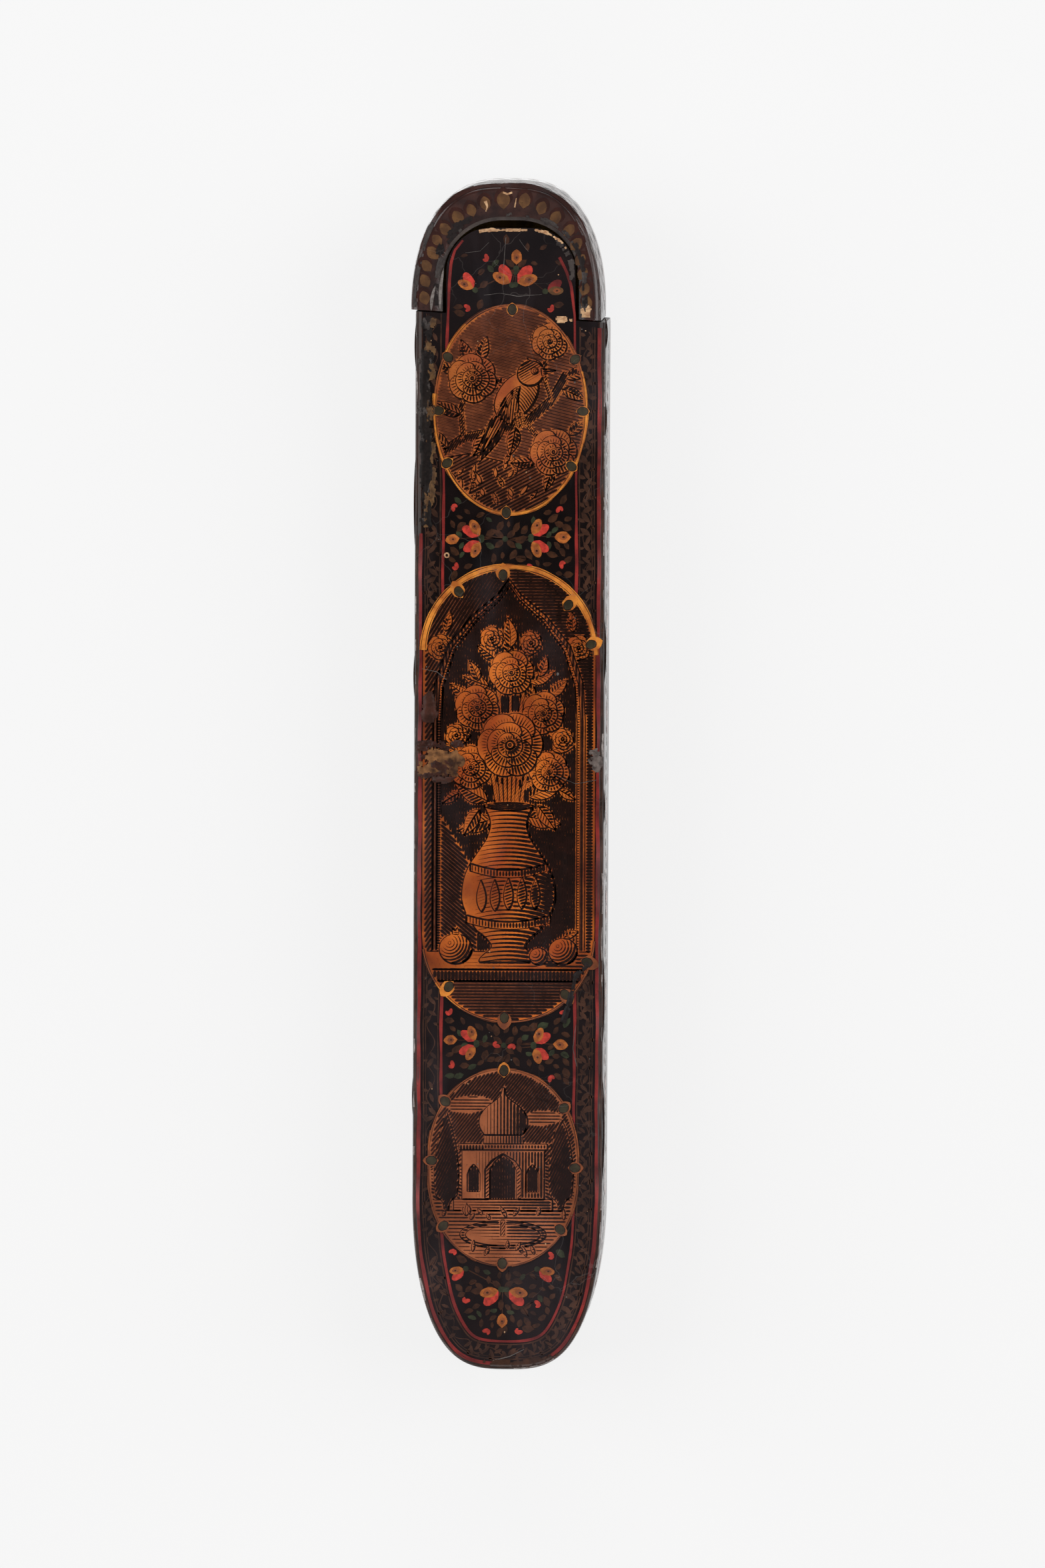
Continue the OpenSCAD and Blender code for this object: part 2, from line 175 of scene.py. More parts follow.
class EffectGroups:
    """Shader node groups for the ageing that several finishes share."""

    def __init__(self) -> None:
        """Builds both groups."""
        self.varnish = self._varnish()
        self.ageing = self._ageing()

    @staticmethod
    def _new(name: str, inputs: dict[str, object], outputs: Sequence[str]) -> tuple:
        """Starts a group.

        Args:
            name: The group's name.
            inputs: Each input's starting value: a number, or a colour of four values.
            outputs: Names of the outputs, of which Color is a colour.

        Returns:
            The group, its node bench, and the sockets that give its inputs and take its outputs.
        """
        group = bpy.data.node_groups.new(name, "ShaderNodeTree")
        for label, value in inputs.items():
            kind = "NodeSocketColor" if isinstance(value, tuple) else "NodeSocketFloat"
            group.interface.new_socket(label, in_out="INPUT", socket_type=kind).default_value = value
        for label in outputs:
            kind = "NodeSocketColor" if label == "Color" else "NodeSocketFloat"
            group.interface.new_socket(label, in_out="OUTPUT", socket_type=kind)
        bench = NodeBench(group)
        return group, bench, bench.add("NodeGroupInput").outputs, bench.add("NodeGroupOutput").inputs

    def _varnish(self) -> bpy.types.NodeTree:
        """Builds old varnish: slow waves, fine grain, crazing, and scuffed, duller patches.

        Returns:
            The group.
        """
        outputs = ("Height", "Roughness", "Crazing", "Scuff")
        group, b, given, out = self._new("old_varnish", {"Gloss": 0.2, "Relief": 1.0}, outputs)
        spot = b.coords()
        waves, grain = b.noise(spot, 70, 2), b.noise(spot, 1500, 2)
        wander = b.add("TexNoise", {"Vector": spot, "Scale": 160, "Detail": 3}).outputs["Color"]
        bent = b.add("VectorMath", {0: wander, 1: (0.006, 0.006, 0.006)}, operation="MULTIPLY").outputs[0]
        moved = b.add("VectorMath", {0: spot, 1: bent}, operation="ADD").outputs[0]
        cells = b.add("TexVoronoi", {"Vector": moved, "Scale": 120}, feature="DISTANCE_TO_EDGE")
        lines = b.span(cells.outputs["Distance"], 0.0, 0.009, 1.0, 0.0)
        crazing = b.math("MULTIPLY", lines, b.span(b.noise(spot, 38, 2), 0.53, 0.64))
        scuff = b.span(b.noise(b.coords((1, 0.35, 1)), 95, 5, 0.6), 0.52, 0.74)
        height = b.math("ADD", waves, b.math("MULTIPLY", grain, 0.06))
        height = b.math("SUBTRACT", height, b.math("MULTIPLY", crazing, 0.1))
        dull = b.math("ADD", given["Gloss"], b.math("MULTIPLY", scuff, 0.1))
        b.feed(b.math("MULTIPLY", height, given["Relief"]), out["Height"])
        b.feed(b.math("ADD", dull, b.math("MULTIPLY", crazing, 0.25), True), out["Roughness"])
        b.feed(crazing, out["Crazing"])
        b.feed(scuff, out["Scuff"])
        return group

    def _ageing(self) -> bpy.types.NodeTree:
        """Builds aged paint: blotches, soil, pin-holes, scuffs, and a bloom towards the box's ends.

        Returns:
            The group.
        """
        grey = (0.5, 0.5, 0.5, 1.0)
        inputs = dict.fromkeys(("Fresh", "Faded", "Soil", "Crack"), grey)
        inputs |= {"Blotch": 420.0, "Soiling": 0.4, "Crazing": 0.0, "Scuff": 0.0}
        group, b, given, out = self._new("aged_paint", inputs, ("Color",))
        spot = b.coords()
        blotch = b.span(b.noise(spot, given["Blotch"], 4), 0.36, 0.64)
        faded = b.mix(blotch, given["Fresh"], given["Faded"])
        patches = b.span(b.noise(spot, 120, 5), 0.4, 0.72)
        soiled = b.mix(b.math("MULTIPLY", patches, given["Soiling"]), faded, given["Soil"])
        flecked = b.mix(b.span(b.noise(spot, 2600, 2), 0.64, 0.74, 0.0, 0.55), soiled, given["Soil"])
        crazed = b.mix(b.math("MULTIPLY", given["Crazing"], 0.22), flecked, given["Crack"])
        level = b.add("SeparateXYZ", {0: spot}).outputs["Y"]
        foot, cap = b.span(level, 0.0, -0.07, 0.0, 0.021), b.span(level, 0.078, 0.094, 0.0, 0.017)
        bloom = b.math("ADD", foot, cap)
        haze = b.math("ADD", b.math("MULTIPLY", given["Scuff"], 0.03), bloom)
        hazed = b.mix(haze, crazed, srgb("#a597a0"))
        b.feed(hazed, out["Color"])
        return group


class Finish:
    """A material on the Principled shader; each kind of finish feeds it in its own way."""

    def feeds(self, b: NodeBench, groups: EffectGroups) -> dict[str, object]:
        """Returns what feeds each of the shader's sockets."""
        raise NotImplementedError

    def make(self, name: str, groups: EffectGroups) -> Material:
        """Builds the material.

        Args:
            name: Its name.
            groups: The shared effects.

        Returns:
            The material.
        """
        material = bpy.data.materials.new(name)
        material.use_nodes = True
        bench = NodeBench(material.node_tree)
        sockets = material.node_tree.nodes["Principled BSDF"].inputs
        for label, source in self.feeds(bench, groups).items():
            bench.feed(source, sockets[label])
        return material


@dataclass(frozen=True)
class PaintFinish(Finish):
    """Old paint, lacquer or paper under the box's common varnish."""

    fresh: str
    faded: str
    soil: str = "#140d0a"
    blotch: float = 420.0
    soiling: float = 0.4
    gloss: float = 0.2
    bump: float = 0.25
    crack: str = "#6b625c"
    grime: Point | None = None
    shine: float = 0.5

    def feeds(self, b: NodeBench, groups: EffectGroups) -> dict[str, object]:
        """Shades the paint, darkened towards the box's sides between the two distances in grime.

        Args:
            b: Adds the nodes.
            groups: The shared effects.

        Returns:
            What feeds each of the shader's sockets.
        """
        varnish = b.add("Group", {"Gloss": self.gloss}, node_tree=groups.varnish).outputs
        values = {"Fresh": srgb(self.fresh), "Faded": srgb(self.faded), "Soil": srgb(self.soil),
                  "Crack": srgb(self.crack), "Blotch": self.blotch, "Soiling": self.soiling,
                  "Crazing": varnish["Crazing"], "Scuff": varnish["Scuff"]}
        color = b.add("Group", values, node_tree=groups.ageing).outputs["Color"]
        if self.grime:
            spot = b.coords()
            aside = b.math("ABSOLUTE", b.add("SeparateXYZ", {0: spot}).outputs["X"])
            near = b.span(aside, self.grime[0] * MM, self.grime[1] * MM)
            cloud = b.span(b.noise(spot, 150, 5, 0.8), 0.3, 0.62, 0.25, 1.0)
            color = b.mix(b.math("MULTIPLY", near, cloud), color, srgb(self.soil))
        bump = b.add("Bump", {"Strength": self.bump, "Distance": 0.0006, "Height": varnish["Height"]})
        return {"Base Color": color, "Roughness": varnish["Roughness"], "Normal": bump.outputs["Normal"],
                "Specular IOR Level": self.shine}


@dataclass(frozen=True)
class GrainFinish(Finish):
    """A material with drawn-out grain and stains: reed, bone, brass, steel, silk or marbled paper."""

    light: str
    dark: str
    stain: str
    stretch: Triple = (1.0, 0.08, 1.0)
    grain: float = 900.0
    stain_scale: float = 60.0
    stained: Point = (0.5, 0.75)
    metallic: float = 0.0
    rough: Point = (0.35, 0.55)
    bump: float = 0.2

    def feeds(self, b: NodeBench, groups: EffectGroups) -> dict[str, object]:
        """Shades the grain, dulled by the varnish's scuffs.

        Args:
            b: Adds the nodes.
            groups: The shared effects.

        Returns:
            What feeds each of the shader's sockets.
        """
        fibre = b.noise(b.coords(self.stretch), self.grain, 5, 0.3)
        patch = b.noise(b.coords(), self.stain_scale, 5)
        body = b.mix(b.span(fibre, 0.35, 0.68), srgb(self.light), srgb(self.dark))
        color = b.mix(b.span(patch, *self.stained, 0.0, 0.85), body, srgb(self.stain))
        worn = b.add("Group", {"Gloss": 0.0}, node_tree=groups.varnish).outputs["Roughness"]
        dull = b.math("ADD", b.span(patch, 0.3, 0.7, *self.rough), worn, True)
        bump = b.add("Bump", {"Strength": self.bump, "Distance": 0.0002, "Height": fibre})
        return {"Base Color": color, "Roughness": dull, "Normal": bump.outputs["Normal"],
                "Metallic": self.metallic}


class FinishShelf:
    """Every finish on the box, each under its key."""

    FINISHES = {
        Paint.BAND: PaintFinish("#180f0f", "#0f0909", blotch=350, soiling=0.5, shine=0.3),
        Paint.RULE: PaintFinish("#93302c", "#6a2625", "#2c1817", 260, 0.75, shine=0.2),
        Paint.ROSE: PaintFinish("#cf4235", "#9c3229", blotch=1100, soiling=0.35),
        Paint.ORANGE: PaintFinish("#bd6c31", "#884a23", blotch=900),
        Paint.BROWN: PaintFinish("#482c1d", "#2f1d15", blotch=800, shine=0.3),
        Paint.SCROLL: PaintFinish("#4c3226", "#32211a", blotch=500, soiling=0.5, shine=0.25),
        Paint.GREEN: PaintFinish("#373d29", "#272b1d", blotch=800),
        Paint.HALO: PaintFinish("#3c1f18", "#2c1712", blotch=500, soiling=0.5, shine=0.3),
        Paint.GOLD: PaintFinish("#6b4a2c", "#523723", blotch=600, soiling=0.5),
        Paint.RIM: PaintFinish("#e8923a", "#b8662a", "#5a2c14", soiling=0.5),
        Paint.RUST: PaintFinish("#a2592f", "#74402a", "#3a1e14", soiling=0.5),
        Paint.JEWEL: PaintFinish("#3e3727", "#2d281c", blotch=700, soiling=0.3),
        Paint.DARK: PaintFinish("#2a1510", "#1c0f0b", blotch=700),
        Paint.PALE: PaintFinish("#d6ac7f", "#a0724c", "#5a3a26", 1500, gloss=0.6, bump=0.6),
        Paint.HAIR: PaintFinish("#706964", "#4a433f", blotch=900, gloss=0.5),
        # Chipped edges: pale grey, partly chipped paint and partly painted highlights on the rounded edges.
        Paint.CHIP_GLINT: PaintFinish("#b3a8a4", "#6f6560", blotch=1300, gloss=0.5),
        "face_lacquer": PaintFinish("#110c0c", "#0a0707", "#1f1413", 160, 0.5, shine=0.22),
        "side_lacquer": PaintFinish("#3a2219", "#22150f", "#120b08", 260, 0.6, 0.16, shine=0.22),
        "cap_lacquer": PaintFinish("#452b25", "#2c1c19", "#171110", 380, 0.8, bump=0.5),
        # Worn edge: dark rubbed lacquer whose pale grey patches and flecks (its soil colour) are painted
        # highlights of the rough surface.
        "worn_edge_and_glints": PaintFinish("#3a312e", "#241e1c", "#6b5f58", 900, 0.5, 0.4, 0.9, shine=0.2),
        "blistered": PaintFinish("#121010", "#1e1918", "#352b26", 1500, 0.4, 0.42, 0.6, shine=0.1),
        "bared_ground": PaintFinish("#765636", "#48321f", "#2b1d15", 900, 0.5, 0.5, 0.6, shine=0.15),
        "peeled": PaintFinish("#94663f", "#3a261c", "#2b1b15", 620, 0.6, 0.4, 1.0, shine=0.15),
        # Lifted film: loose grey-brown lacquer; its grey and its paler patches are partly the film's own
        # colour and partly painted sheen of wrinkled black lacquer.
        "lifted_film_and_sheen": PaintFinish("#3a3432", "#262120", "#655c56", 1200, 0.4, 0.4, 0.6, shine=0.12),
        "torn": PaintFinish("#43261f", "#241511", "#553529", 700, 0.35, 0.35, 0.8, shine=0.15),
        "chipped": PaintFinish("#6b5f5a", "#352b28", "#8d827c", 900, 0.4, 0.4, 0.8, shine=0.15),
        "loose_strip": PaintFinish("#8d8580", "#5f5752", "#332c29", 1500, 0.4, 0.4, 0.6, shine=0.2),
        "lining": PaintFinish("#4a2a1c", "#38200f", "#1a0f0a", 500, gloss=0.6),
        "drawer_lacquer": PaintFinish("#6b1f18", "#511711", "#1d0d0a", 240, 0.55),
        "upper_print": PaintFinish("#cb7234", "#a04f2b", "#4a2214", 170, 0.55, crack="#3a1a0c",
                                   grime=(9, 19)),
        "central_print": PaintFinish("#cf6d26", "#a84b1e", "#451d12", 130, 0.55, crack="#3a1a0c",
                                     grime=(9, 20)),
        "lower_print": PaintFinish("#b36841", "#935030", "#4d2718", 170, 0.5, crack="#3a1a0c",
                                   grime=(8, 19)),
        "ink": PaintFinish("#21100b", "#180c08", "#120906", 500, 0.3, crack="#2b150d", shine=0.25),
        "wash": PaintFinish("#763f26", "#562c1b", "#30170c", 300, 0.5, crack="#2b150d"),
        "brass": GrainFinish("#b3904c", "#8f6c34", "#4a3719", (1, 1, 0.2), 500, 140, (0.5, 0.72), 1.0,
                             (0.22, 0.42)),
        "steel": GrainFinish("#b6b8b8", "#989b9d", "#5a534c", (0.1, 1, 1), 1400, 160, (0.55, 0.8), 1.0,
                             (0.4, 0.6)),
        "reed": GrainFinish("#9a6433", "#6e4322", "#3d2312", (1, 0.03, 1), 1600, 45),
        "bone": GrainFinish("#e0d2ae", "#cdb98d", "#94744a", (1, 0.05, 1), 1300, 55, (0.56, 0.85)),
        "lining_paper": GrainFinish("#a27a52", "#8a5f3d", "#5a2f22", (1, 0.5, 1), 160, 110, (0.46, 0.56),
                                    rough=(0.6, 0.85)),
        "silk": GrainFinish("#1b1613", "#0c0a09", "#2a211b", (1, 1, 1), 1500, 300, (0.5, 0.8),
                            rough=(0.5, 0.8), bump=0.8),
    }

    def __init__(self) -> None:
        """Makes a material of each finish."""
        groups = EffectGroups()
        self.made = {key: finish.make(getattr(key, "value", key), groups)
                     for key, finish in self.FINISHES.items()}

    def dress(self, obj: Piece, *keys: Paint | str) -> None:
        """Replaces an object's materials.

        Args:
            obj: The piece.
            keys: The finishes it gets.
        """
        obj.data.materials.clear()
        for key in keys:
            obj.data.materials.append(self.made[key])


# Form


def inside(points: Array, outline: Array) -> Array:
    """Tells which points lie inside a closed outline.

    Args:
        points: Points to test.
        outline: Corners of the outline.

    Returns:
        One truth value for each point.
    """
    ends = np.roll(outline, -1, axis=0)
    (x0, y0), (x1, y1) = outline.T, ends.T
    rise = np.where(y1 == y0, 1e-12, y1 - y0)
    found = []
    for part in np.array_split(points, 1 + len(points) * len(outline) // 1_000_000):
        x, y = part[:, :1], part[:, 1:]
        crossed = (y0 > y) != (y1 > y)
        found.append(((x < x0 + (y - y0) / rise * (x1 - x0)) & crossed).sum(1) % 2 == 1)
    return np.concatenate(found)


def lengths(path: Array) -> Array:
    """Returns each point's distance along a path."""
    return np.concatenate([[0], np.cumsum(np.hypot(*np.diff(path, axis=0).T))])


def between(at: Array, reach: Array, path: Array) -> Array:
    """Returns the points at distances along a path, whose own points lie at the distances in reach."""
    return np.transpose([np.interp(at, reach, column) for column in path.T])


def resample(path: Array, spacing: float) -> Array:
    """Lays points evenly along a path.

    Args:
        path: The path's own points.
        spacing: About how far apart the new points lie.

    Returns:
        The new points.
    """
    path = np.asarray(path, float)
    reach = lengths(path)
    return between(np.linspace(0, reach[-1], max(2, int(round(reach[-1] / spacing)) + 1)), reach, path)


def left_of(path: Array) -> Array:
    """Returns the unit vector to the left of a path's heading at each of its points."""
    heading = np.gradient(path, axis=0)
    return heading[:, ::-1] * (-1, 1) / np.maximum(np.hypot(*heading.T), 1e-9)[:, None]


def turn_by(shape: Array, angle: float) -> Array:
    """Returns a shape turned about the origin by an angle."""
    c, s = math.cos(math.radians(angle)), math.sin(math.radians(angle))
    return shape @ np.array([(c, s), (-s, c)])


def lumps(points: Array, size: float, seed: int) -> Array:
    """Returns smooth random values from 0 to 1.

    Args:
        points: Where they are taken.
        size: Size of a lump.
        seed: Which pattern it is.

    Returns:
        One value for each point.
    """
    at = points / size
    at = at - np.floor(at.min(0))
    cell = at.astype(int)
    u, v = ((at - cell) ** 2 * (3 - 2 * (at - cell))).T
    grid = np.random.default_rng(seed).random(cell.max(0) + 2)
    i, j = cell.T
    low = grid[i, j] * (1 - u) + grid[i + 1, j] * u
    high = grid[i, j + 1] * (1 - u) + grid[i + 1, j + 1] * u
    return low * (1 - v) + high * v


def round_end(half: float, start: float, rise: float, powers: Point, steps: int) -> Array:
    """Lays out a round end, as half a superellipse.

    Args:
        half: Half its width.
        start: Height that it rises from.
        rise: How far it rises.
        powers: The curve's powers across and up.
        steps: Straight runs along it.

    Returns:
        Points from its right side over the tip to its left side.
    """
    t = np.linspace(0, math.pi, steps + 1)
    c, s = np.cos(t), np.clip(np.sin(t), 0, 1)
    x = half * np.sign(c) * np.abs(c) ** (2 / powers[0])
    return np.c_[x, start + rise * s ** (2 / powers[1])]


@dataclass(frozen=True)
class BoxForm:
    """Sizes of the pen box; its length, width and height come from the frame."""

    length: float
    width: float
    height: float
    wall: float = 2.0
    edge_round: float = 1.4
    foot_rise: float = 33.0
    cap_rise: float = 24.5
    cap_power: float = 2.8
    foot_power: float = 3.1
    tip_power: float = 2.1
    mouth_setback: float = 25.8
    mouth_skew: float = 2.0
    mouth_gap: float = 0.3
    tongue_length: float = 17.2
    tongue_width: float = 25.0
    tongue_round: float = 8.5
    notch_side_gap: float = 0.7
    notch_tip_gap: float = 1.5
    notch_round: float = 11.5
    cap_shift: float = 0.9
    drawer_gap: float = 0.3
    drawer_wall: float = 1.6
    drawer_height: float = 23.5

    @classmethod
    def from_frame(cls) -> "BoxForm":
        """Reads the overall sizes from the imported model."""
        low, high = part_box("case_sleeve")
        return cls((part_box("drawer_cap")[1].y - low.y) / MM, (high.x - low.x) / MM, (high.z - low.z) / MM)

    @property
    def tip_y(self) -> float:
        """Distance from the middle to either tip."""
        return self.length / 2

    @property
    def mouth_y(self) -> float:
        """Height of the mouth on the centre line."""
        return self.tip_y - self.mouth_setback

    @property
    def drawer_inset(self) -> float:
        """Distance from the box's outside to the drawer's."""
        return self.wall + self.drawer_gap

    def mouth_at(self, x: float) -> float:
        """Height of the mouth's slanting edge at x."""
        return self.mouth_y - self.mouth_skew * x / self.width

    def end(self, inset: float, foot: bool, steps: int = 96) -> Array:
        """Lays out one round end of the box.

        Args:
            inset: How far the end is taken in.
            foot: Whether it is the foot, and not the cap.
            steps: Straight runs along it.

        Returns:
            Points along it, counter-clockwise.
        """
        rise, power = (self.foot_rise, self.foot_power) if foot else (self.cap_rise, self.cap_power)
        half, powers = self.width / 2 - inset, (power, self.tip_power)
        end = round_end(half, self.tip_y - rise, rise - inset, powers, steps)
        return -end if foot else end

    def outline(self, inset: float = 0.0) -> Array:
        """Returns the closed plan of the whole box, taken in by inset."""
        return np.vstack([self.end(inset, False), self.end(inset, True)])

    def tongue(self, side: float, tip: float, radius: float, steps: int = 20) -> Array:
        """Lays out the tongue, or the notch that takes it.

        Args:
            side: How far its sides are moved out.
            tip: How far its tip is moved out.
            radius: Corner radius.
            steps: Straight runs in each corner.

        Returns:
            Points from its right side over the tip to its left side.
        """
        half, top = self.tongue_width / 2 + side, self.mouth_y + self.tongue_length + tip
        turn = np.linspace(0, math.pi / 2, steps + 1)
        right = (half, top) - radius * (1 - np.c_[np.cos(turn), np.sin(turn)])
        return np.vstack([right, (right * (-1, 1))[::-1]])

    def beyond_mouth(self, gap: float, side: float, tip: float, radius: float) -> Array:
        """Lays out the plan of all that lies past the mouth, less the tongue or notch.

        Args:
            gap: How far past the mouth it begins.
            side: How far the tongue's sides are moved out.
            tip: How far its tip is moved out.
            radius: Its corner radius.

        Returns:
            The closed plan.
        """
        far, half = self.width, self.tongue_width / 2 + side
        feet = [(x, self.mouth_at(x) + gap) for x in (half, -half, -far)]
        corners = [(-far, self.length), (far, self.length), (far, self.mouth_at(far) + gap)]
        return np.vstack([feet[:1], self.tongue(side, tip, radius), feet[1:], corners])


@dataclass
class Edge:
    """A line on the box that patterns follow, measured along it and away from it to its left."""

    path: Array
    top: float
    rounding: float = 0.0
    dip: Point = (0.0, 1.0)

    def __post_init__(self) -> None:
        """Measures the line."""
        self.run = resample(self.path, 0.4)
        self.side = left_of(self.run)
        self.reach = lengths(self.run)

    @property
    def length(self) -> float:
        """Length of the line."""
        return float(self.reach[-1])

    def _at(self, along: Array) -> tuple[Array, Array]:
        """Finds points on the line, and the unit vectors to its left there."""
        side = between(along, self.reach, self.side)
        return between(along, self.reach, self.run), side / np.hypot(*side.T)[:, None]

    def over(self, flat: Array, lift: Lift) -> Array:
        """Places a pattern on the face beside the line.

        Args:
            flat: Distances along the line and away from it.
            lift: Height above the surface.

        Returns:
            Points in space, bent down over a rounded edge or into the dip beside a cut one.
        """
        foot, side = self._at(flat[:, 0])
        away = flat[:, 1]
        if not self.rounding:
            fall = self.dip[0] * np.clip(1 - away / self.dip[1], 0, 1)
            return np.c_[foot + side * away[:, None], self.top - fall + lift]
        lean = np.arcsin(np.clip(1 - away / self.rounding, 0, 1))
        out = foot + side * (away - lift * np.sin(lean))[:, None]
        return np.c_[out, self.top - self.rounding + (self.rounding + lift) * np.cos(lean)]

    def down(self, flat: Array, lift: Lift) -> Array:
        """Places a pattern of distances along the line and heights on the wall under it."""
        foot, side = self._at(flat[:, 0])
        return np.c_[foot - side * (WALL_COAT + np.reshape(lift, (-1, 1))), flat[:, 1]]


@dataclass(frozen=True)
class PrintForm:
    """One pasted print: its CAD node, the length of its round ends, its painted drops and their rings.

    The rim's width and the share of it that is still bright are given for its upper and its lower half.
    """

    node: str
    end: float
    drops: tuple[Triple, ...]
    ring: Point
    rim_width: Point
    bright: Point
    rim_gap: float = 0.0
    power: float = 2.05

    @cached_property
    def box(self) -> Array:
        """Its lowest and highest corners."""
        return np.array(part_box(self.node)) / MM

    @cached_property
    def centre(self) -> Array:
        """Its middle on the face."""
        return self.box.mean(0)[:2]

    @property
    def top(self) -> float:
        """Height of its upper face."""
        return self.box[1, 2]

    def outline(self, grow: float = 0.0) -> Array:
        """Lays out its closed outline about its own middle.

        Args:
            grow: How far it is grown all round.

        Returns:
            Its corners.
        """
        half_w, half_l = (self.box[1, :2] - self.box[0, :2]) / 2
        upper = round_end(half_w + grow, half_l - self.end, self.end + grow, (self.power, self.power), 48)
        return np.vstack([upper, -upper])


PRINTS = (
    PrintForm("upper_print", 20.2, (
        (0.3, 90.4, 0), (-11.9, 81.2, 52), (12.3, 80.9, -52), (-13.7, 71, 90), (13.8, 71, -90),
        (-12, 61, 128), (11.7, 60.5, -128), (-0.7, 51.6, 180)), (2.75, 2.1), (0.5, 0.72), (0.2, 0.92)),
    PrintForm("central_print", 17, (
        (-1.3, 39.4, 0), (-9.9, 36.1, 32), (11.5, 33.6, -38), (16, 25.9, -70), (-11.6, -40.8, 140),
        (-0.7, -46.8, 180), (11.2, -42.2, -140), (15.5, -35.8, -110)), (3.8, 2.65), (1.2, 0.5), (0.95, 0.45),
        rim_gap=29),
    PrintForm("lower_print", 17, (
        (-0.7, -57, 0), (-12, -63, 48), (10.8, -64.2, -48), (-14.6, -74.4, 90), (13, -75.7, -90),
        (-12.3, -87, 130), (10.2, -87.6, -130), (-0.9, -94.2, 180)), (3.1, 2.3), (0.45, 0.36), (0, 0)),
)


@dataclass
class Surfaces:
    """The faces and edges that patterns go on."""

    form: BoxForm
    flake_line: tuple[Point, ...] = ((15.6, -36), (13, -38.5), (12, -43), (10.6, -47.5))

    def __post_init__(self) -> None:
        """Lays out the edges of the case, the cap, the notch, the tongue and the drawer."""
        f = self.form
        notch = f.tongue(f.notch_side_gap, f.notch_tip_gap, f.notch_round)[::-1]
        cap = self._with_legs(f.end(0, False, 160)) - (f.cap_shift, -f.mouth_gap)
        self.case = Edge(self._with_legs(f.end(0, True, 200)), f.height, f.edge_round)
        self.cap = Edge(cap, f.height, f.edge_round)
        self.drawer = Edge(self._with_legs(f.end(f.drawer_inset, True, 160), f.mouth_y), f.height)
        self.notch = Edge(self._with_legs(notch, gap=0.6), f.height, dip=(0.4, 0.7))
        self.tongue = Edge(self._with_legs(f.tongue(0, 0, f.tongue_round), f.mouth_y), f.height)
        self.flake = Edge(np.array(self.flake_line), PRINTS[1].top)

    def _with_legs(self, curve: Array, level: float | None = None, gap: float = 0.0) -> Array:
        """Runs a curve on straight from both its ends.

        Args:
            curve: Points along the curve.
            level: Height that both legs run to; by default that of the slanted mouth.
            gap: How far short of the mouth they end.

        Returns:
            Points along the whole line.
        """
        ends = (curve[0, 0], curve[-1, 0])
        feet = [(x, self.form.mouth_at(x) + gap if level is None else level) for x in ends]
        return np.vstack([feet[:1], curve, feet[1:]])

    def face(self, flat: Array, lift: Lift) -> Array:
        """Places points on the painted face."""
        return np.c_[flat, np.zeros(len(flat)) + self.form.height + lift]

    def pasted_on(self, pasted: PrintForm, place: Place) -> Place:
        """Returns a way of placing points that stands a print's thickness above another."""
        return lambda flat, lift: place(flat, lift + pasted.top - self.form.height)

    def over_prints(self, flat: Array, lift: Lift) -> Array:
        """Places points on the painted face, or on a print where one covers it.

        Args:
            flat: Points on the face.
            lift: Height above the surface.

        Returns:
            Points in space.
        """
        placed = self.face(flat, lift)
        for pasted in PRINTS:
            placed[inside(flat - pasted.centre, pasted.outline()), 2] += pasted.top - self.form.height
        return placed

    def underside(self, flat: Array, lift: Lift) -> Array:
        """Places points on the underside, seen from below."""
        return np.c_[-flat[:, 0], flat[:, 1], np.zeros(len(flat)) + REST_LIFT - 0.5 * lift]


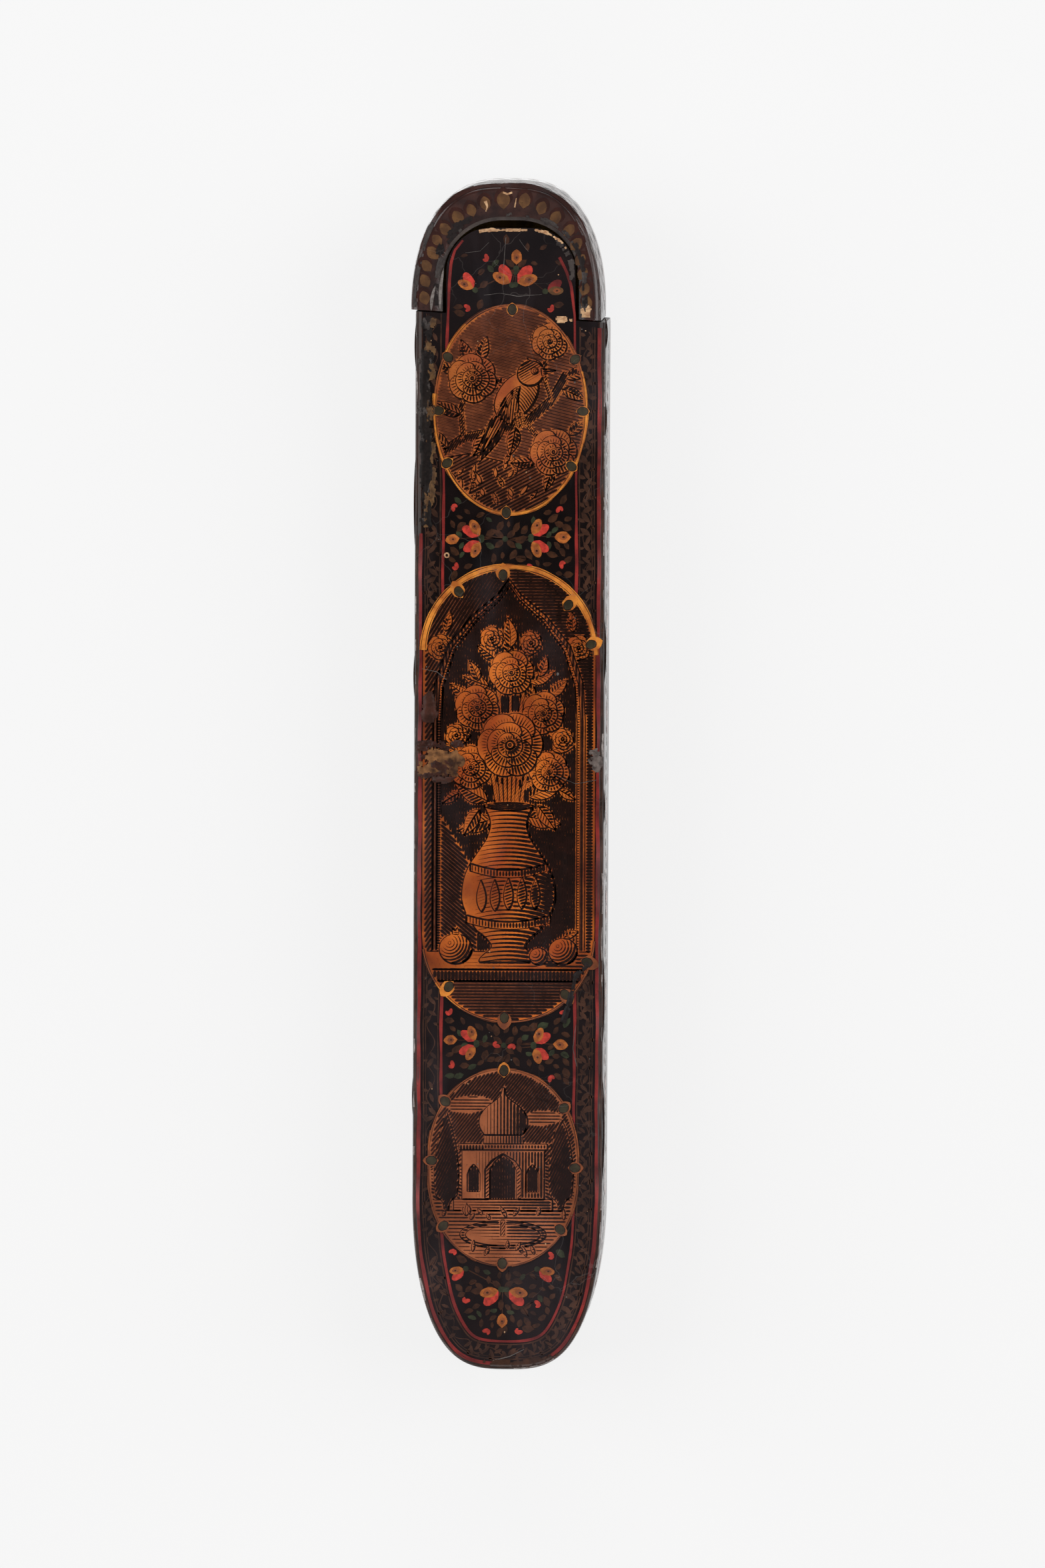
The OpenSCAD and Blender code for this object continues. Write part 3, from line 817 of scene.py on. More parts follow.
class Bench:
    """Modelling steps on Blender's operators."""

    @staticmethod
    def activate(obj: Piece) -> None:
        """Makes an object the active one, and the only one selected.

        Args:
            obj: The object.
        """
        bpy.ops.object.select_all(action="DESELECT")
        obj.select_set(True)
        bpy.context.view_layer.objects.active = obj

    @staticmethod
    def start(name: str, primitive: Callable, **settings: object) -> Piece:
        """Adds a primitive.

        Args:
            name: The new object's name.
            primitive: The operator that adds it.
            settings: The operator's settings.

        Returns:
            The new object.
        """
        primitive(**settings)
        bpy.context.object.name = name
        return bpy.context.object

    @classmethod
    def edit(cls, obj: Piece, kind: str, chosen: Sequence[bool], step: Callable, **settings: object) -> None:
        """Runs an operator in edit mode on some vertices or faces.

        Args:
            obj: The piece.
            kind: VERT or FACE.
            chosen: One truth value for each vertex or face.
            step: The operator.
            settings: The operator's settings.
        """
        cls.activate(obj)
        bpy.ops.object.mode_set(mode="EDIT")
        bpy.ops.mesh.select_mode(type=kind)
        bpy.ops.mesh.select_all(action="DESELECT")
        bpy.ops.object.mode_set(mode="OBJECT")
        parts = obj.data.vertices if kind == "VERT" else obj.data.polygons
        parts.foreach_set("select", np.asarray(chosen, bool))
        bpy.ops.object.mode_set(mode="EDIT")
        step(**settings)
        bpy.ops.object.mode_set(mode="OBJECT")

    @staticmethod
    def corners(obj: Piece) -> Array:
        """Returns the places of an object's vertices."""
        return np.array([v.co for v in obj.data.vertices]) / MM

    @staticmethod
    def place(obj: Piece, corners: Array) -> None:
        """Moves an object's vertices to new places."""
        obj.data.vertices.foreach_set("co", (np.asarray(corners, float) * MM).ravel())
        obj.data.update()

    @classmethod
    def prism(cls, name: str, plan: Array, low: float, high: float,
              top: Array | None = None) -> Piece:
        """Raises a closed plan into a solid.

        Args:
            name: The new object's name.
            plan: Corners of its foot.
            low: Height of its foot.
            high: Height of its top.
            top: Corners of its top where they differ from the foot's.

        Returns:
            The new object, at the origin.
        """
        obj = cls.start(name, bpy.ops.mesh.primitive_circle_add, vertices=len(plan), fill_type="NGON")
        cls.place(obj, np.c_[plan, np.full(len(plan), low)])
        rise = {"value": (0, 0, (high - low) * MM)}
        cls.edit(obj, "FACE", [True], bpy.ops.mesh.extrude_region_move, TRANSFORM_OT_translate=rise)
        if top is not None:
            spots = cls.corners(obj)
            for i in np.flatnonzero(spots[:, 2] > (low + high) / 2):
                spots[i, :2] = top[np.argmin(np.hypot(*(plan - spots[i, :2]).T))]
            cls.place(obj, spots)
        faces = [True] * len(obj.data.polygons)
        cls.edit(obj, "FACE", faces, bpy.ops.mesh.normals_make_consistent, inside=False)
        return obj

    @classmethod
    def round_rims(cls, obj: Piece, heights: Sequence[float], radius: float, segments: int) -> None:
        """Rounds the edges that lie flat at given heights.

        Args:
            obj: The piece.
            heights: Where the edges lie.
            radius: How far the rounding reaches.
            segments: Runs across it.
        """
        for height in heights:
            level = np.abs(cls.corners(obj)[:, 2] - height) < 0.001
            cls.edit(obj, "VERT", level, bpy.ops.mesh.bevel, offset=radius * MM, offset_type="OFFSET",
                     segments=segments, affect="EDGES")

    @classmethod
    def combine(cls, obj: Piece, tool: Piece, operation: str = "DIFFERENCE") -> None:
        """Cuts or trims a solid by another, which is used up.

        Args:
            obj: The solid.
            tool: What cuts it.
            operation: DIFFERENCE or INTERSECT.
        """
        cls.activate(obj)
        step = obj.modifiers.new("cut", "BOOLEAN")
        step.operation = operation
        step.solver = "EXACT"
        step.object = tool
        bpy.ops.object.modifier_apply(modifier=step.name)
        bpy.data.objects.remove(tool, do_unlink=True)

    @staticmethod
    def faces(obj: Piece) -> tuple[Array, Array]:
        """Returns the centres and the normals of an object's faces."""
        faces = obj.data.polygons
        return np.array([face.center for face in faces]) / MM, np.array([face.normal for face in faces])

    @staticmethod
    def tag(obj: Piece, numbers: Array) -> None:
        """Gives each face the number of one of its object's materials."""
        obj.data.polygons.foreach_set("material_index", numbers.astype(np.int32))

    @classmethod
    def finish(cls, obj: Piece, body: str, slot: str, *nodes: str, crease: float = 35.0) -> None:
        """Shades a piece smooth, sets it on its body and reports it.

        Args:
            obj: The piece.
            body: The CAD body that it moves with.
            slot: The record's material slot; not used.
            nodes: CAD nodes that it stands for.
            crease: Angle above which an edge stays sharp.
        """
        cls.activate(obj)
        bpy.ops.object.shade_smooth_by_angle(angle=math.radians(crease))
        bpy.ops.object.select_all(action="DESELECT")
        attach(obj, body)
        if nodes:
            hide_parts(*nodes)
        LOG.info("%s rides on %s with %d faces", obj.name, body, len(obj.data.polygons))


@dataclass(frozen=True)
class Film:
    """A ragged film of lacquer or bared ground: where it lies, how much is left, how far it stands up."""

    place: Place
    name: str
    finish: Paint | str
    span: tuple[float, float, float, float]
    bare: float
    rise: float
    grain: float
    seed: int
    cell: float = 0.22
    fade: float = 0.8
    oval: bool = False
    stretch: float = 1.0

    def build(self, body: str, shelf: FinishShelf) -> None:
        """Models the film.

        Args:
            body: The CAD body that it moves with.
            shelf: Holds its finish.
        """
        u0, u1, v0, v1 = self.span
        cells = [max(3, int((high - low) / self.cell)) for low, high in ((u0, u1), (v0, v1))]
        obj = Bench.start(self.name, bpy.ops.mesh.primitive_grid_add, x_subdivisions=cells[0],
                          y_subdivisions=cells[1], size=MM)
        unit = Bench.corners(obj)[:, :2] + 0.5
        shake = np.random.default_rng(self.seed).uniform(-0.35, 0.35, unit.shape) * self.cell
        flat = (u0, v0) + unit * (u1 - u0, v1 - v0)
        rim = np.minimum(flat - (u0, v0), (u1, v1) - flat).min(1)
        if self.oval:
            rim = (1 - np.hypot(*(2 * unit - 1).T)) * min(u1 - u0, v1 - v0) / 2
        cover = sum(share * lumps(flat / (self.stretch, 1), size * self.grain, self.seed + k)
                    for k, (share, size) in enumerate(((0.55, 1.0), (0.3, 0.4), (0.15, 0.16))))
        cover -= 0.5 * np.clip(1 - rim / self.fade, 0, 1.4)
        stand = np.clip((cover - self.bare) / (1 - self.bare), 0, 1) ** 0.6
        flat = flat + shake * (rim > 0)[:, None]
        Bench.place(obj, self.place(flat, 0.1 + self.rise * stand))
        kept = cover > self.bare
        gone = [not any(kept[v] for v in face.vertices) for face in obj.data.polygons]
        Bench.edit(obj, "FACE", gone, bpy.ops.mesh.delete, type="FACE")
        shelf.dress(obj, self.finish)
        Bench.finish(obj, body, BOARD, crease=50)


# Painted ornament


class StampSet:
    """Brush marks, each modelled once from a disc: one unit long and wide, rooted at the origin, along +Y."""

    CORNERS = 16

    def __init__(self) -> None:
        """Models every mark."""
        self.leaf = self._mark(root=0.3, tip=0.2, point=0.12)
        self.comma = self._mark(root=0.75, tip=0.12, point=0.14, curl=0.55)
        self.petal = self._mark(root=0.3, tip=1.0)
        self.drop = self._mark(root=0.35, tip=0.9, point=0.03)
        self.dot = self._mark()

    def _mark(self, root: float = 1.0, tip: float = 1.0, point: float = 0.0, curl: float = 0.0) -> Array:
        """Shapes one mark.

        Args:
            root: How far the root is pinched, from 0, a point, to 1, round.
            tip: How far the tip is pinched.
            point: How far the tip is drawn out.
            curl: How far the tip is bent aside, as a share of the width.

        Returns:
            The mark's corners.
        """
        disc = Bench.start("mark", bpy.ops.mesh.primitive_circle_add, vertices=self.CORNERS, radius=0.5 * MM,
                           fill_type="NGON")
        for end, pinch in ((-1, root), (1, tip)):
            for ring, part in ((0.25, 0.5 + 0.5 * pinch), (0.4, pinch)):
                Bench.edit(disc, "VERT", end * Bench.corners(disc)[:, 1] > ring, bpy.ops.transform.resize,
                           value=(part, 1, 1), center_override=(0, 0, 0))
        Bench.edit(disc, "VERT", Bench.corners(disc)[:, 1] > 0.48, bpy.ops.transform.translate,
                   value=(0, point * MM, 0))
        corners = Bench.corners(disc)[:, :2]
        bpy.data.objects.remove(disc, do_unlink=True)
        corners[:, 1] -= corners[:, 1].min()
        corners /= (np.ptp(corners[:, 0]), corners[:, 1].max())
        corners[:, 0] += curl * corners[:, 1] ** 2
        return corners


@dataclass
class PaintSheet:
    """All strokes of one colour on one body, gathered into one mesh."""

    name: str
    points: list[Array] = field(default_factory=list)
    faces: list[list[int]] = field(default_factory=list)
    count: int = 0

    def add(self, points: Array, faces: Iterable[Sequence[int]]) -> None:
        """Adds some faces.

        Args:
            points: Their corners.
            faces: Numbers of each face's corners among the points.
        """
        self.faces.extend([self.count + i for i in face] for face in faces)
        self.points.append(points)
        self.count += len(points)

    def strip(self, left: Array, right: Array) -> None:
        """Adds a strip between two edges."""
        n = len(left)
        self.add(np.vstack([left, right]), ((i, n + i, n + i + 1, i + 1) for i in range(n - 1)))

    def build(self, material: Material, body: str, slot: str) -> None:
        """Makes the sheet's mesh, unless nothing was painted.

        Args:
            material: Its paint.
            body: The CAD body that it moves with.
            slot: The record's material slot.
        """
        if not self.faces:
            return
        mesh = bpy.data.meshes.new(self.name)
        mesh.from_pydata((np.vstack(self.points) * MM).tolist(), [], self.faces)
        mesh.materials.append(material)
        obj = bpy.data.objects.new(self.name, mesh)
        bpy.context.scene.collection.objects.link(obj)
        Bench.finish(obj, body, slot)


def ahead(at: Point, angle: float, distance: float) -> Point:
    """Returns the point at a distance from another along a heading."""
    turn = math.radians(angle)
    return (at[0] - distance * math.sin(turn), at[1] + distance * math.cos(turn))


@dataclass
class Painter:
    """Lays strokes on the box's faces, colour by colour, for one body."""

    prefix: str
    stamps: StampSet
    seed: int

    def __post_init__(self) -> None:
        """Prepares a sheet for each colour."""
        self.sheets = {paint: PaintSheet(f"{self.prefix}_{paint.value}") for paint in Paint}
        self.chance = random.Random(self.seed)
        self.strokes = 0

    def stroke(self, paint: Paint, place: Place, mark: Array, at: Point, length: float, width: float,
               angle: float, layer: int = 1) -> None:
        """Stamps one mark.

        Args:
            paint: Its colour.
            place: The face it goes on.
            mark: Its shape.
            at: Its root.
            length: Its length.
            width: Its width, negative for a mirrored mark.
            angle: Its heading.
            layer: How many coats lie under it.
        """
        loose = 1 + 0.07 * np.array([self.chance.uniform(-1, 1) for _ in mark])
        flat = turn_by(mark * (width, length) * np.c_[loose, np.ones(len(mark))], angle) + at
        self.strokes += 1
        lift = FIRST_COAT + COAT * (layer + self.strokes % 8 / 9)
        self.sheets[paint].add(place(flat if width > 0 else flat[::-1], lift), [range(len(mark))])

    def line(self, paint: Paint, place: Place, path: Sequence[Point] | Array, width: float,
             layer: int = 1, waver: float = 0.12, spacing: float = 0.8) -> None:
        """Draws a line along a path.

        Args:
            paint: Its colour.
            place: The face it goes on.
            path: Points along it.
            width: Its mean width.
            layer: How many coats lie under it.
            waver: How far its width strays, as a share.
            spacing: Distance between the points it is drawn through.
        """
        path = resample(path, spacing)
        knots = np.arange(0, len(path) + 6, 6)
        sizes = [1 + waver * self.chance.uniform(-1, 1) for _ in knots]
        swell = np.interp(np.arange(len(path)), knots, sizes)[:, None]
        side, lift = left_of(path) * 0.5 * width * swell, FIRST_COAT + COAT * layer
        self.sheets[paint].strip(place(path + side, lift), place(path - side, lift))

    def leaf(self, place: Place, at: Point, length: float, angle: float, paint: Paint = Paint.BROWN,
             slim: Point = (0.42, 0.56)) -> None:
        """Stamps a straight or curled leaf.

        Args:
            place: The face it goes on.
            at: Its middle.
            length: Its length.
            angle: Its heading.
            paint: Its colour.
            slim: Least and greatest width, as shares of its length.
        """
        root = ahead(at, angle, -0.5 * length)
        width = length * self.chance.uniform(*slim) * self.chance.choice((-1, 1))
        mark = self.stamps.comma if self.chance.random() < 0.6 else self.stamps.leaf
        self.stroke(paint, place, mark, root, length, width, angle, self.chance.choice((1, 2)))

    def flower(self, place: Place, node: Point, angle: float, length: float, flip: int,
               dull: bool = False) -> None:
        """Paints a red and an orange petal that spring side by side from a dark calyx.

        Args:
            place: The face they go on.
            node: Where they spring from.
            angle: The flower's heading.
            length: Length of the petals.
            flip: 1 for the red petal on the left of the heading, -1 for the right.
            dull: Whether its colours have sunk.
        """
        rose, amber = (Paint.RULE, Paint.GOLD) if dull else (Paint.ROSE, Paint.ORANGE)
        red, orange = angle + 17 * flip, angle - 17 * flip
        base = ahead(node, angle, 0.1 * length)
        marks = ((rose, self.stamps.petal, 0.0, 1.0, 0.54, red, 4),
                 (amber, self.stamps.petal, 0.0, 0.94, 0.5, orange, 5),
                 (Paint.RUST, self.stamps.drop, 0.32, 0.46, 0.28, orange, 7),
                 (Paint.BROWN, self.stamps.dot, 0.5, 0.13, 0.11, orange, 9))
        for paint, mark, start, long, wide, turn, layer in marks:
            root = ahead(base, turn, start * length)
            self.stroke(paint, place, mark, root, long * length, wide * length, turn, layer)
        self.stroke(Paint.GREEN, place, self.stamps.dot, ahead(node, angle, -0.6), 1.15, 1.1, angle, 7)

    def bud(self, place: Place, at: Point, size: float, angle: float) -> None:
        """Paints an orange bud with a brown heart.

        Args:
            place: The face it goes on.
            at: Its middle.
            size: About its width.
            angle: Its heading.
        """
        marks = ((Paint.ORANGE, self.stamps.drop, -0.6, 1.3, 0.9, 4),
                 (Paint.RUST, self.stamps.drop, -0.3, 0.66, 0.46, 6),
                 (Paint.BROWN, self.stamps.dot, -0.1, 0.2, 0.18, 8))
        for paint, mark, start, long, wide, layer in marks:
            root = ahead(at, angle, start * size)
            self.stroke(paint, place, mark, root, long * size, wide * size, angle, layer)

    def floret(self, place: Place, at: Point, size: float) -> None:
        """Paints a small red floret of two lobes.

        Args:
            place: The face it goes on.
            at: Its middle.
            size: Its length.
        """
        angle = self.chance.uniform(0, 360)
        root = ahead(at, angle, -0.5 * size)
        self.stroke(Paint.ROSE, place, self.stamps.petal, root, size, 0.55 * size, angle, 3)
        self.stroke(Paint.ROSE, place, self.stamps.petal, root, 0.72 * size, 0.42 * size, angle + 52, 4)

    def build(self, shelf: FinishShelf, body: str) -> None:
        """Makes a mesh of each colour's sheet."""
        for paint, sheet in self.sheets.items():
            sheet.build(shelf.made[paint], body, BOARD)


@dataclass(frozen=True)
class SprayForm:
    """One field of painted sprays: its span along the box, its heart, and what grows in it."""

    low: float
    high: float
    heart: Point
    half_width: float
    flowers: tuple[tuple[float, float, float, float, int], ...]
    buds: tuple[tuple[float, float, float, float], ...] = ()
    florets: tuple[Point, ...] = ()
    greens: tuple[Triple, ...] = ()
    leaves: int = 40
    dull: tuple[int, ...] = ()
    room: float = 0.95


SPRAYS = (
    SprayForm(86, 105.5, (1, 98.6), 11, (
        (0.2, 95.4, 44, 4.1, -1), (0.9, 95.5, -56, 4.3, 1), (-6.9, 94.4, 48, 3.6, -1),
        (6.7, 94.2, -72, 3.4, 1)),
        ((1.1, 100.7, 2.3, 0),), ((-4.7, 100.7), (-8.4, 91.1), (8, 90.9)),
        ((0.9, 98.2, 0), (-4, 98.6, 40), (4.6, 96.8, -60)), 13, (3,)),
    SprayForm(36, 55.5, (-0.9, 46.2), 11.6, (
        (-5.5, 46.5, 47, 3.8, 1), (-5.5, 46, 137, 3.7, -1), (4.1, 46.7, -43, 3.7, -1),
        (4.1, 46.1, -138, 3.7, 1)),
        ((-11, 46.1, 2.2, 100), (10.4, 46.6, 2.5, 90)),
        ((-11, 52.2), (9.4, 52), (-10.3, 40.9), (4, 40.9), (10, 41.2)),
        ((-9.8, 47.3, 30), (-9.4, 44.8, 150), (7.8, 45, -150), (8.7, 48.2, -30), (4.4, 49.9, 20),
         (1.8, 44.8, -130))),
    SprayForm(-60, -43.5, (-0.8, -52), 11.6, (
        (-6.1, -51.5, 38, 3.4, 1), (-6.1, -51.9, 132, 3.4, -1), (5, -51.8, -42, 3.5, -1),
        (5, -52.2, -145, 3.4, 1)),
        ((-11, -51, 2.1, 95), (10.1, -51.8, 2.3, -95)),
        ((-11.2, -45.6), (-10.7, -55.7), (10.7, -45.5), (8.2, -58.4), (-2.2, -52.1), (0.6, -52.1)),
        ((-9.4, -49.6, 30), (-8.6, -51.9, 90), (-4.4, -50.6, -20), (3.4, -50.4, -60), (4.2, -53.8, -120),
         (8.6, -53.3, -40)), 44),
    SprayForm(-110, -88.5, (-0.8, -99.4), 10.8, (
        (-8, -95.4, 115, 3.1, 1), (5.9, -95.4, -116, 3.3, -1), (-1.2, -99.4, 118, 4, 1),
        (0, -99.4, -118, 4, -1)),
        ((-0.9, -105.6, 2.2, 0),),
        ((-10.6, -92), (8.6, -92.6), (-7.8, -101.7), (6, -102), (-4, -107.4), (2.4, -107.7)),
        ((-5.3, -104, 20), (-6.8, -104.7, 60), (-2.6, -103.7, 120), (0.8, -104, -120), (-4, -96, 70),
         (3.2, -97, -60), (6.4, -101, 30)), 46),
)

# Hairline cracks on the face: width of each, and points along it
CRACKS = (
    (0.07, ((-1, 104.6), (-1.2, 101.8), (-1.4, 98.9))),
    (0.07, ((1.6, 104.2), (2.6, 102.8), (3.4, 101.9))),
    (0.084, ((-5.2, 93.4), (-2, 93.8), (1.4, 93.2), (6, 93.6))),
    (0.07, ((-8.8, 101.6), (-6, 101.9), (-4.3, 103.6))),
    (0.07, ((13.2, -48), (12.6, -52.5), (13.4, -56))),
    (0.112, ((-2.6, -113.2), (0.6, -112.4), (3.4, -111))),
    (0.07, ((-17, 21), (-14, 20.4), (-12.2, 18.9))),
    (0.07, ((9, 0.5), (13, -1.2), (17, -0.4))),
)


def wave(at: Lift, middle: float, sweep: float, length: float) -> Lift:
    """Returns the height of a waving stem at distances along it."""
    return middle + sweep * np.sin(2 * math.pi * at / length)


@dataclass
class CaseOrnament:
    """The painted case: rules, leaf-scroll border, sprays, rims, sides and underside."""

    form: BoxForm
    on: Surfaces
    stamps: StampSet
    rule_width: float = 0.66
    outer_inset: float = 1.15
    inner_inset: float = 5.5
    scroll_inset: float = 3.45
    band: Point = (1.7, 5.0)
    lost_rule: float = 43.0
    worn_foot: Point = (0.0, 10.0)
    scroll_wave: float = 7.0

    def __post_init__(self) -> None:
        """Starts a painter for the case."""
        self.painter = Painter("case", self.stamps, 11)
        self.chance = random.Random(5)
        self.length = self.on.case.length

    def _along(self, inset: float, start: float = 0.4, stop: float | None = None) -> Array:
        """Returns a gently swaying path along the case's edge.

        Args:
            inset: Distance from the edge.
            start: Where it begins, from the mouth down the left side.
            stop: Where it ends; by default at the mouth on the right side.

        Returns:
            Distances along the edge and away from it.
        """
        at = np.arange(start, self.length - 0.4 if stop is None else stop, 0.8)
        sway = 0.06 * np.sin(at * 0.21) + 0.04 * np.sin(at * 0.57 + 1)
        return np.c_[at, inset + sway]

    def rules(self) -> None:
        """Draws the border's ground, the red rules and the thin brown lines beside them."""
        p, over = self.painter, self.on.case.over
        p.line(Paint.BAND, over, self._along(sum(self.band) / 2), self.band[1] - self.band[0], 0, 0.02)
        foot = self.length / 2
        gone = [foot + part for part in self.worn_foot]
        for start, stop in ((self.lost_rule, gone[0]), (gone[1], None)):
            p.line(Paint.RULE, over, self._along(self.outer_inset, start, stop), self.rule_width, 3, 0.2)
        p.line(Paint.SCROLL, over, self._along(self.outer_inset, *gone), 0.5, 3, 0.4)
        for inset, width in ((0.45, 0.45), (2.05, 0.2), (2.5, 0.14), (4.9, 0.24)):
            p.line(Paint.SCROLL, over, self._along(inset, self.lost_rule * (inset < 1) + 0.4), width, 2, 0.35)
        inner = over(self._along(self.inner_inset), 0)[:, :2]
        left = [(-9.3, 104), (-10.9, 102), (-11.6, 99.6), (-11.9, 96), (-12.1, 90), (-12.5, 80)]
        right = [(12.5, 80), (12.4, 89.5), (11.7, 95.3), (10.7, 98.2), (9.4, 100.8)]
        path = np.vstack([left, inner[inner[:, 1] < self.form.mouth_y - 16], right])
        p.line(Paint.RULE, self.on.face, path, self.rule_width * 0.8, 3, 0.25)

    def scroll(self) -> None:
        """Paints the leaf scroll that fills the border, thinner where it has worn on the left."""
        p, over, chance = self.painter, self.on.case.over, self.chance
        at = np.arange(1.5, self.length - 1.5, 0.4)
        stem = np.c_[at, wave(at, self.scroll_inset, 0.8, self.scroll_wave)]
        p.line(Paint.SCROLL, over, stem, 0.16, 1, 0.5, 0.5)
        spot, side = 2.0, 1
        while spot < self.length - 2:
            worn = spot < 0.48 * self.length and chance.random() < 0.45
            angle = -90 + side * chance.uniform(20, 60)
            inset = self.scroll_inset + 0.45 * side * chance.uniform(0.3, 1.4)
            if not worn:
                p.leaf(over, (spot, inset), chance.uniform(2.0, 3.0), angle, Paint.SCROLL, (0.28, 0.36))
                twin = (spot + 0.8, self.scroll_inset - 0.95 * side)
                p.leaf(over, twin, chance.uniform(1.2, 1.9), angle + side * 70, Paint.SCROLL, (0.34, 0.46))
            spot += self.scroll_wave / 5 * chance.uniform(0.85, 1.15)
            side = -side

    def _open(self, spots: Array) -> Array:
        """Tells which spots lie on open ground: inside the inner rule and off the prints.

        Args:
            spots: Points on the face.

        Returns:
            One truth value for each spot.
        """
        f = self.form
        plot = np.vstack([f.tongue(-1.6, -1.8, f.tongue_round), [(-10, 80), (10, 80)]])
        free = inside(spots, f.outline(self.inner_inset + 1.4))
        free &= (spots[:, 1] < f.mouth_y) | inside(spots, plot)
        for pasted in PRINTS:
            free &= ~inside(spots - pasted.centre, pasted.outline(1.4))
        return free

    def spray(self, spray: SprayForm) -> None:
        """Paints one field of flowers and leaves.

        Args:
            spray: What grows in the field, and where.
        """
        p, face, chance = self.painter, self.on.face, self.chance
        hx, hy = spray.heart
        taken: list[Triple] = [(hx, hy, 1.2)]
        for index, (x, y, angle, length, flip) in enumerate(spray.flowers):
            mid = ((hx + x) / 2, (hy + y) / 2 + chance.uniform(-0.4, 0.4))
            p.line(Paint.BROWN, face, (spray.heart, mid, (x, y)), 0.2, 1, 0.3, 0.5)
            p.flower(face, (x, y), angle, length, flip, index in spray.dull)
            taken += [(*ahead((x, y), angle, 0.6 * length), 1.4), (x, y, 0.5)]
        for x, y, size, angle in spray.buds:
            mid = ((hx + x) / 2, (hy + y) / 2 + 0.4)
            p.line(Paint.BROWN, face, (spray.heart, mid, (x, y)), 0.16, 1, 0.3, 0.5)
            p.bud(face, (x, y), size, angle)
            taken.append((x, y, 0.8))
        for angle in (50, -50, 130, -130):
            p.stroke(Paint.BROWN, face, self.stamps.leaf, ahead(spray.heart, angle, 0.3), 2.7, 1.15, angle, 2)
            taken.append((*ahead(spray.heart, angle, 1.7), 0.6))
        p.stroke(Paint.GREEN, face, self.stamps.dot, (hx, hy - 0.55), 1.1, 1.1, 0, 6)
        for at in spray.florets:
            p.floret(face, at, 1.5)
            taken.append((*at, 0.5))
        for x, y, angle in spray.greens:
            p.leaf(face, (x, y), chance.uniform(1.7, 2.2), angle, Paint.GREEN)
            taken.append((x, y, 0.2))
        tries = np.array([(chance.uniform(-1, 1) * spray.half_width, chance.uniform(spray.low, spray.high))
                          for _ in range(2500)])
        left = spray.leaves
        for x, y in tries[self._open(tries)]:
            if left and all(math.hypot(x - ox, y - oy) > spray.room + keep for ox, oy, keep in taken):
                away = math.degrees(math.atan2(hx - x, y - hy)) + chance.uniform(-55, 55)
                shade = Paint.GREEN if chance.random() < 0.12 else Paint.BROWN
                p.leaf(face, (x, y), chance.uniform(1.5, 2.8), away, shade)
                taken.append((x, y, 0.5))
                left -= 1

    def rim(self, pasted: PrintForm) -> None:
        """Paints a print's rim, bright in places and dull in others, and its green drops.

        Args:
            pasted: The print.
        """
        p, on_print = self.painter, self.on.pasted_on(pasted, self.on.face)
        edge = pasted.outline(0.05)
        loop = resample(np.vstack([edge, edge[:1]]), 0.5)
        chunks = np.array_split(np.arange(len(loop)), max(8, len(loop) // 14))
        for run in chunks:
            run = np.append(run, run[-1] + 1)[:len(loop) - run[0]]
            if np.abs(loop[run, 1]).mean() < pasted.rim_gap or len(run) < 3:
                continue
            path, half = loop[run] + pasted.centre, int(loop[run, 1].mean() < 0)
            width = pasted.rim_width[half]
            paint = Paint.RIM if self.chance.random() < pasted.bright[half] else Paint.RUST
            p.line(paint, on_print, path, width, 1, 0.25, 0.5)
            for offset in (0.35, -0.35):
                p.line(Paint.DARK, on_print, path + left_of(path) * offset * width, 0.1, 3, 0.8, 0.5)
        for x, y, angle in pasted.drops:
            root = ahead((x, y), angle, -0.42 * pasted.ring[0])
            share = pasted.bright[int(y < pasted.centre[1])]
            paint = Paint.RIM if angle == 0 or self.chance.random() < share else Paint.RUST
            p.stroke(paint, on_print, p.stamps.drop, root, *pasted.ring, angle, 4)
            p.stroke(Paint.DARK, on_print, p.stamps.dot, ahead(root, angle, 0.25), 2.3, 1.85, angle, 5)
            p.stroke(Paint.JEWEL, on_print, p.stamps.drop, ahead(root, angle, 0.35), 2.1, 1.65, angle, 6)

    def _running_spray(self, place: Place, length: float, middle: float, sweep: float, pace: float) -> None:
        """Paints a waving stem with leaves, flowers and buds along a wall.

        Args:
            place: The wall it goes on.
            length: How far it runs.
            middle: Height of its middle.
            sweep: How far the stem waves up and down.
            pace: Length of one wave.
        """
        p, chance = self.painter, self.chance
        at = np.arange(0.6, length - 0.6, 1.0)
        p.line(Paint.GOLD, place, np.c_[at, wave(at, middle, sweep, pace)], 0.36, 1, 0.3)
        for spot in np.arange(5.0, length - 5, 2.4):
            level = wave(spot, middle, sweep, pace)
            for way in (-1, 1):
                shade = chance.choice((Paint.GOLD, Paint.SCROLL, Paint.GREEN))
                leaf = (spot + 0.8, level + way * 1.7)
                p.leaf(place, leaf, chance.uniform(2.8, 4.0), -90 + way * chance.uniform(35, 70), shade)
        for index, spot in enumerate(np.arange(pace / 4, length - 6, pace / 2)):
            way, heading = (1, 180) if index % 2 == 0 else (-1, 0)
            node = (spot, middle + way * (sweep - 3.6))
            p.line(Paint.BROWN, place, ((spot - 1, middle + way * sweep), node), 0.25, 1)
            for turn in (-45, 45):
                p.flower(place, node, heading + turn, 4.2, 1 if turn < 0 else -1)
            p.floret(place, (spot + pace / 4, middle + way * 3.4), 1.7)
            p.bud(place, (spot + pace / 6, middle - way * 6.4), 2.4, heading)

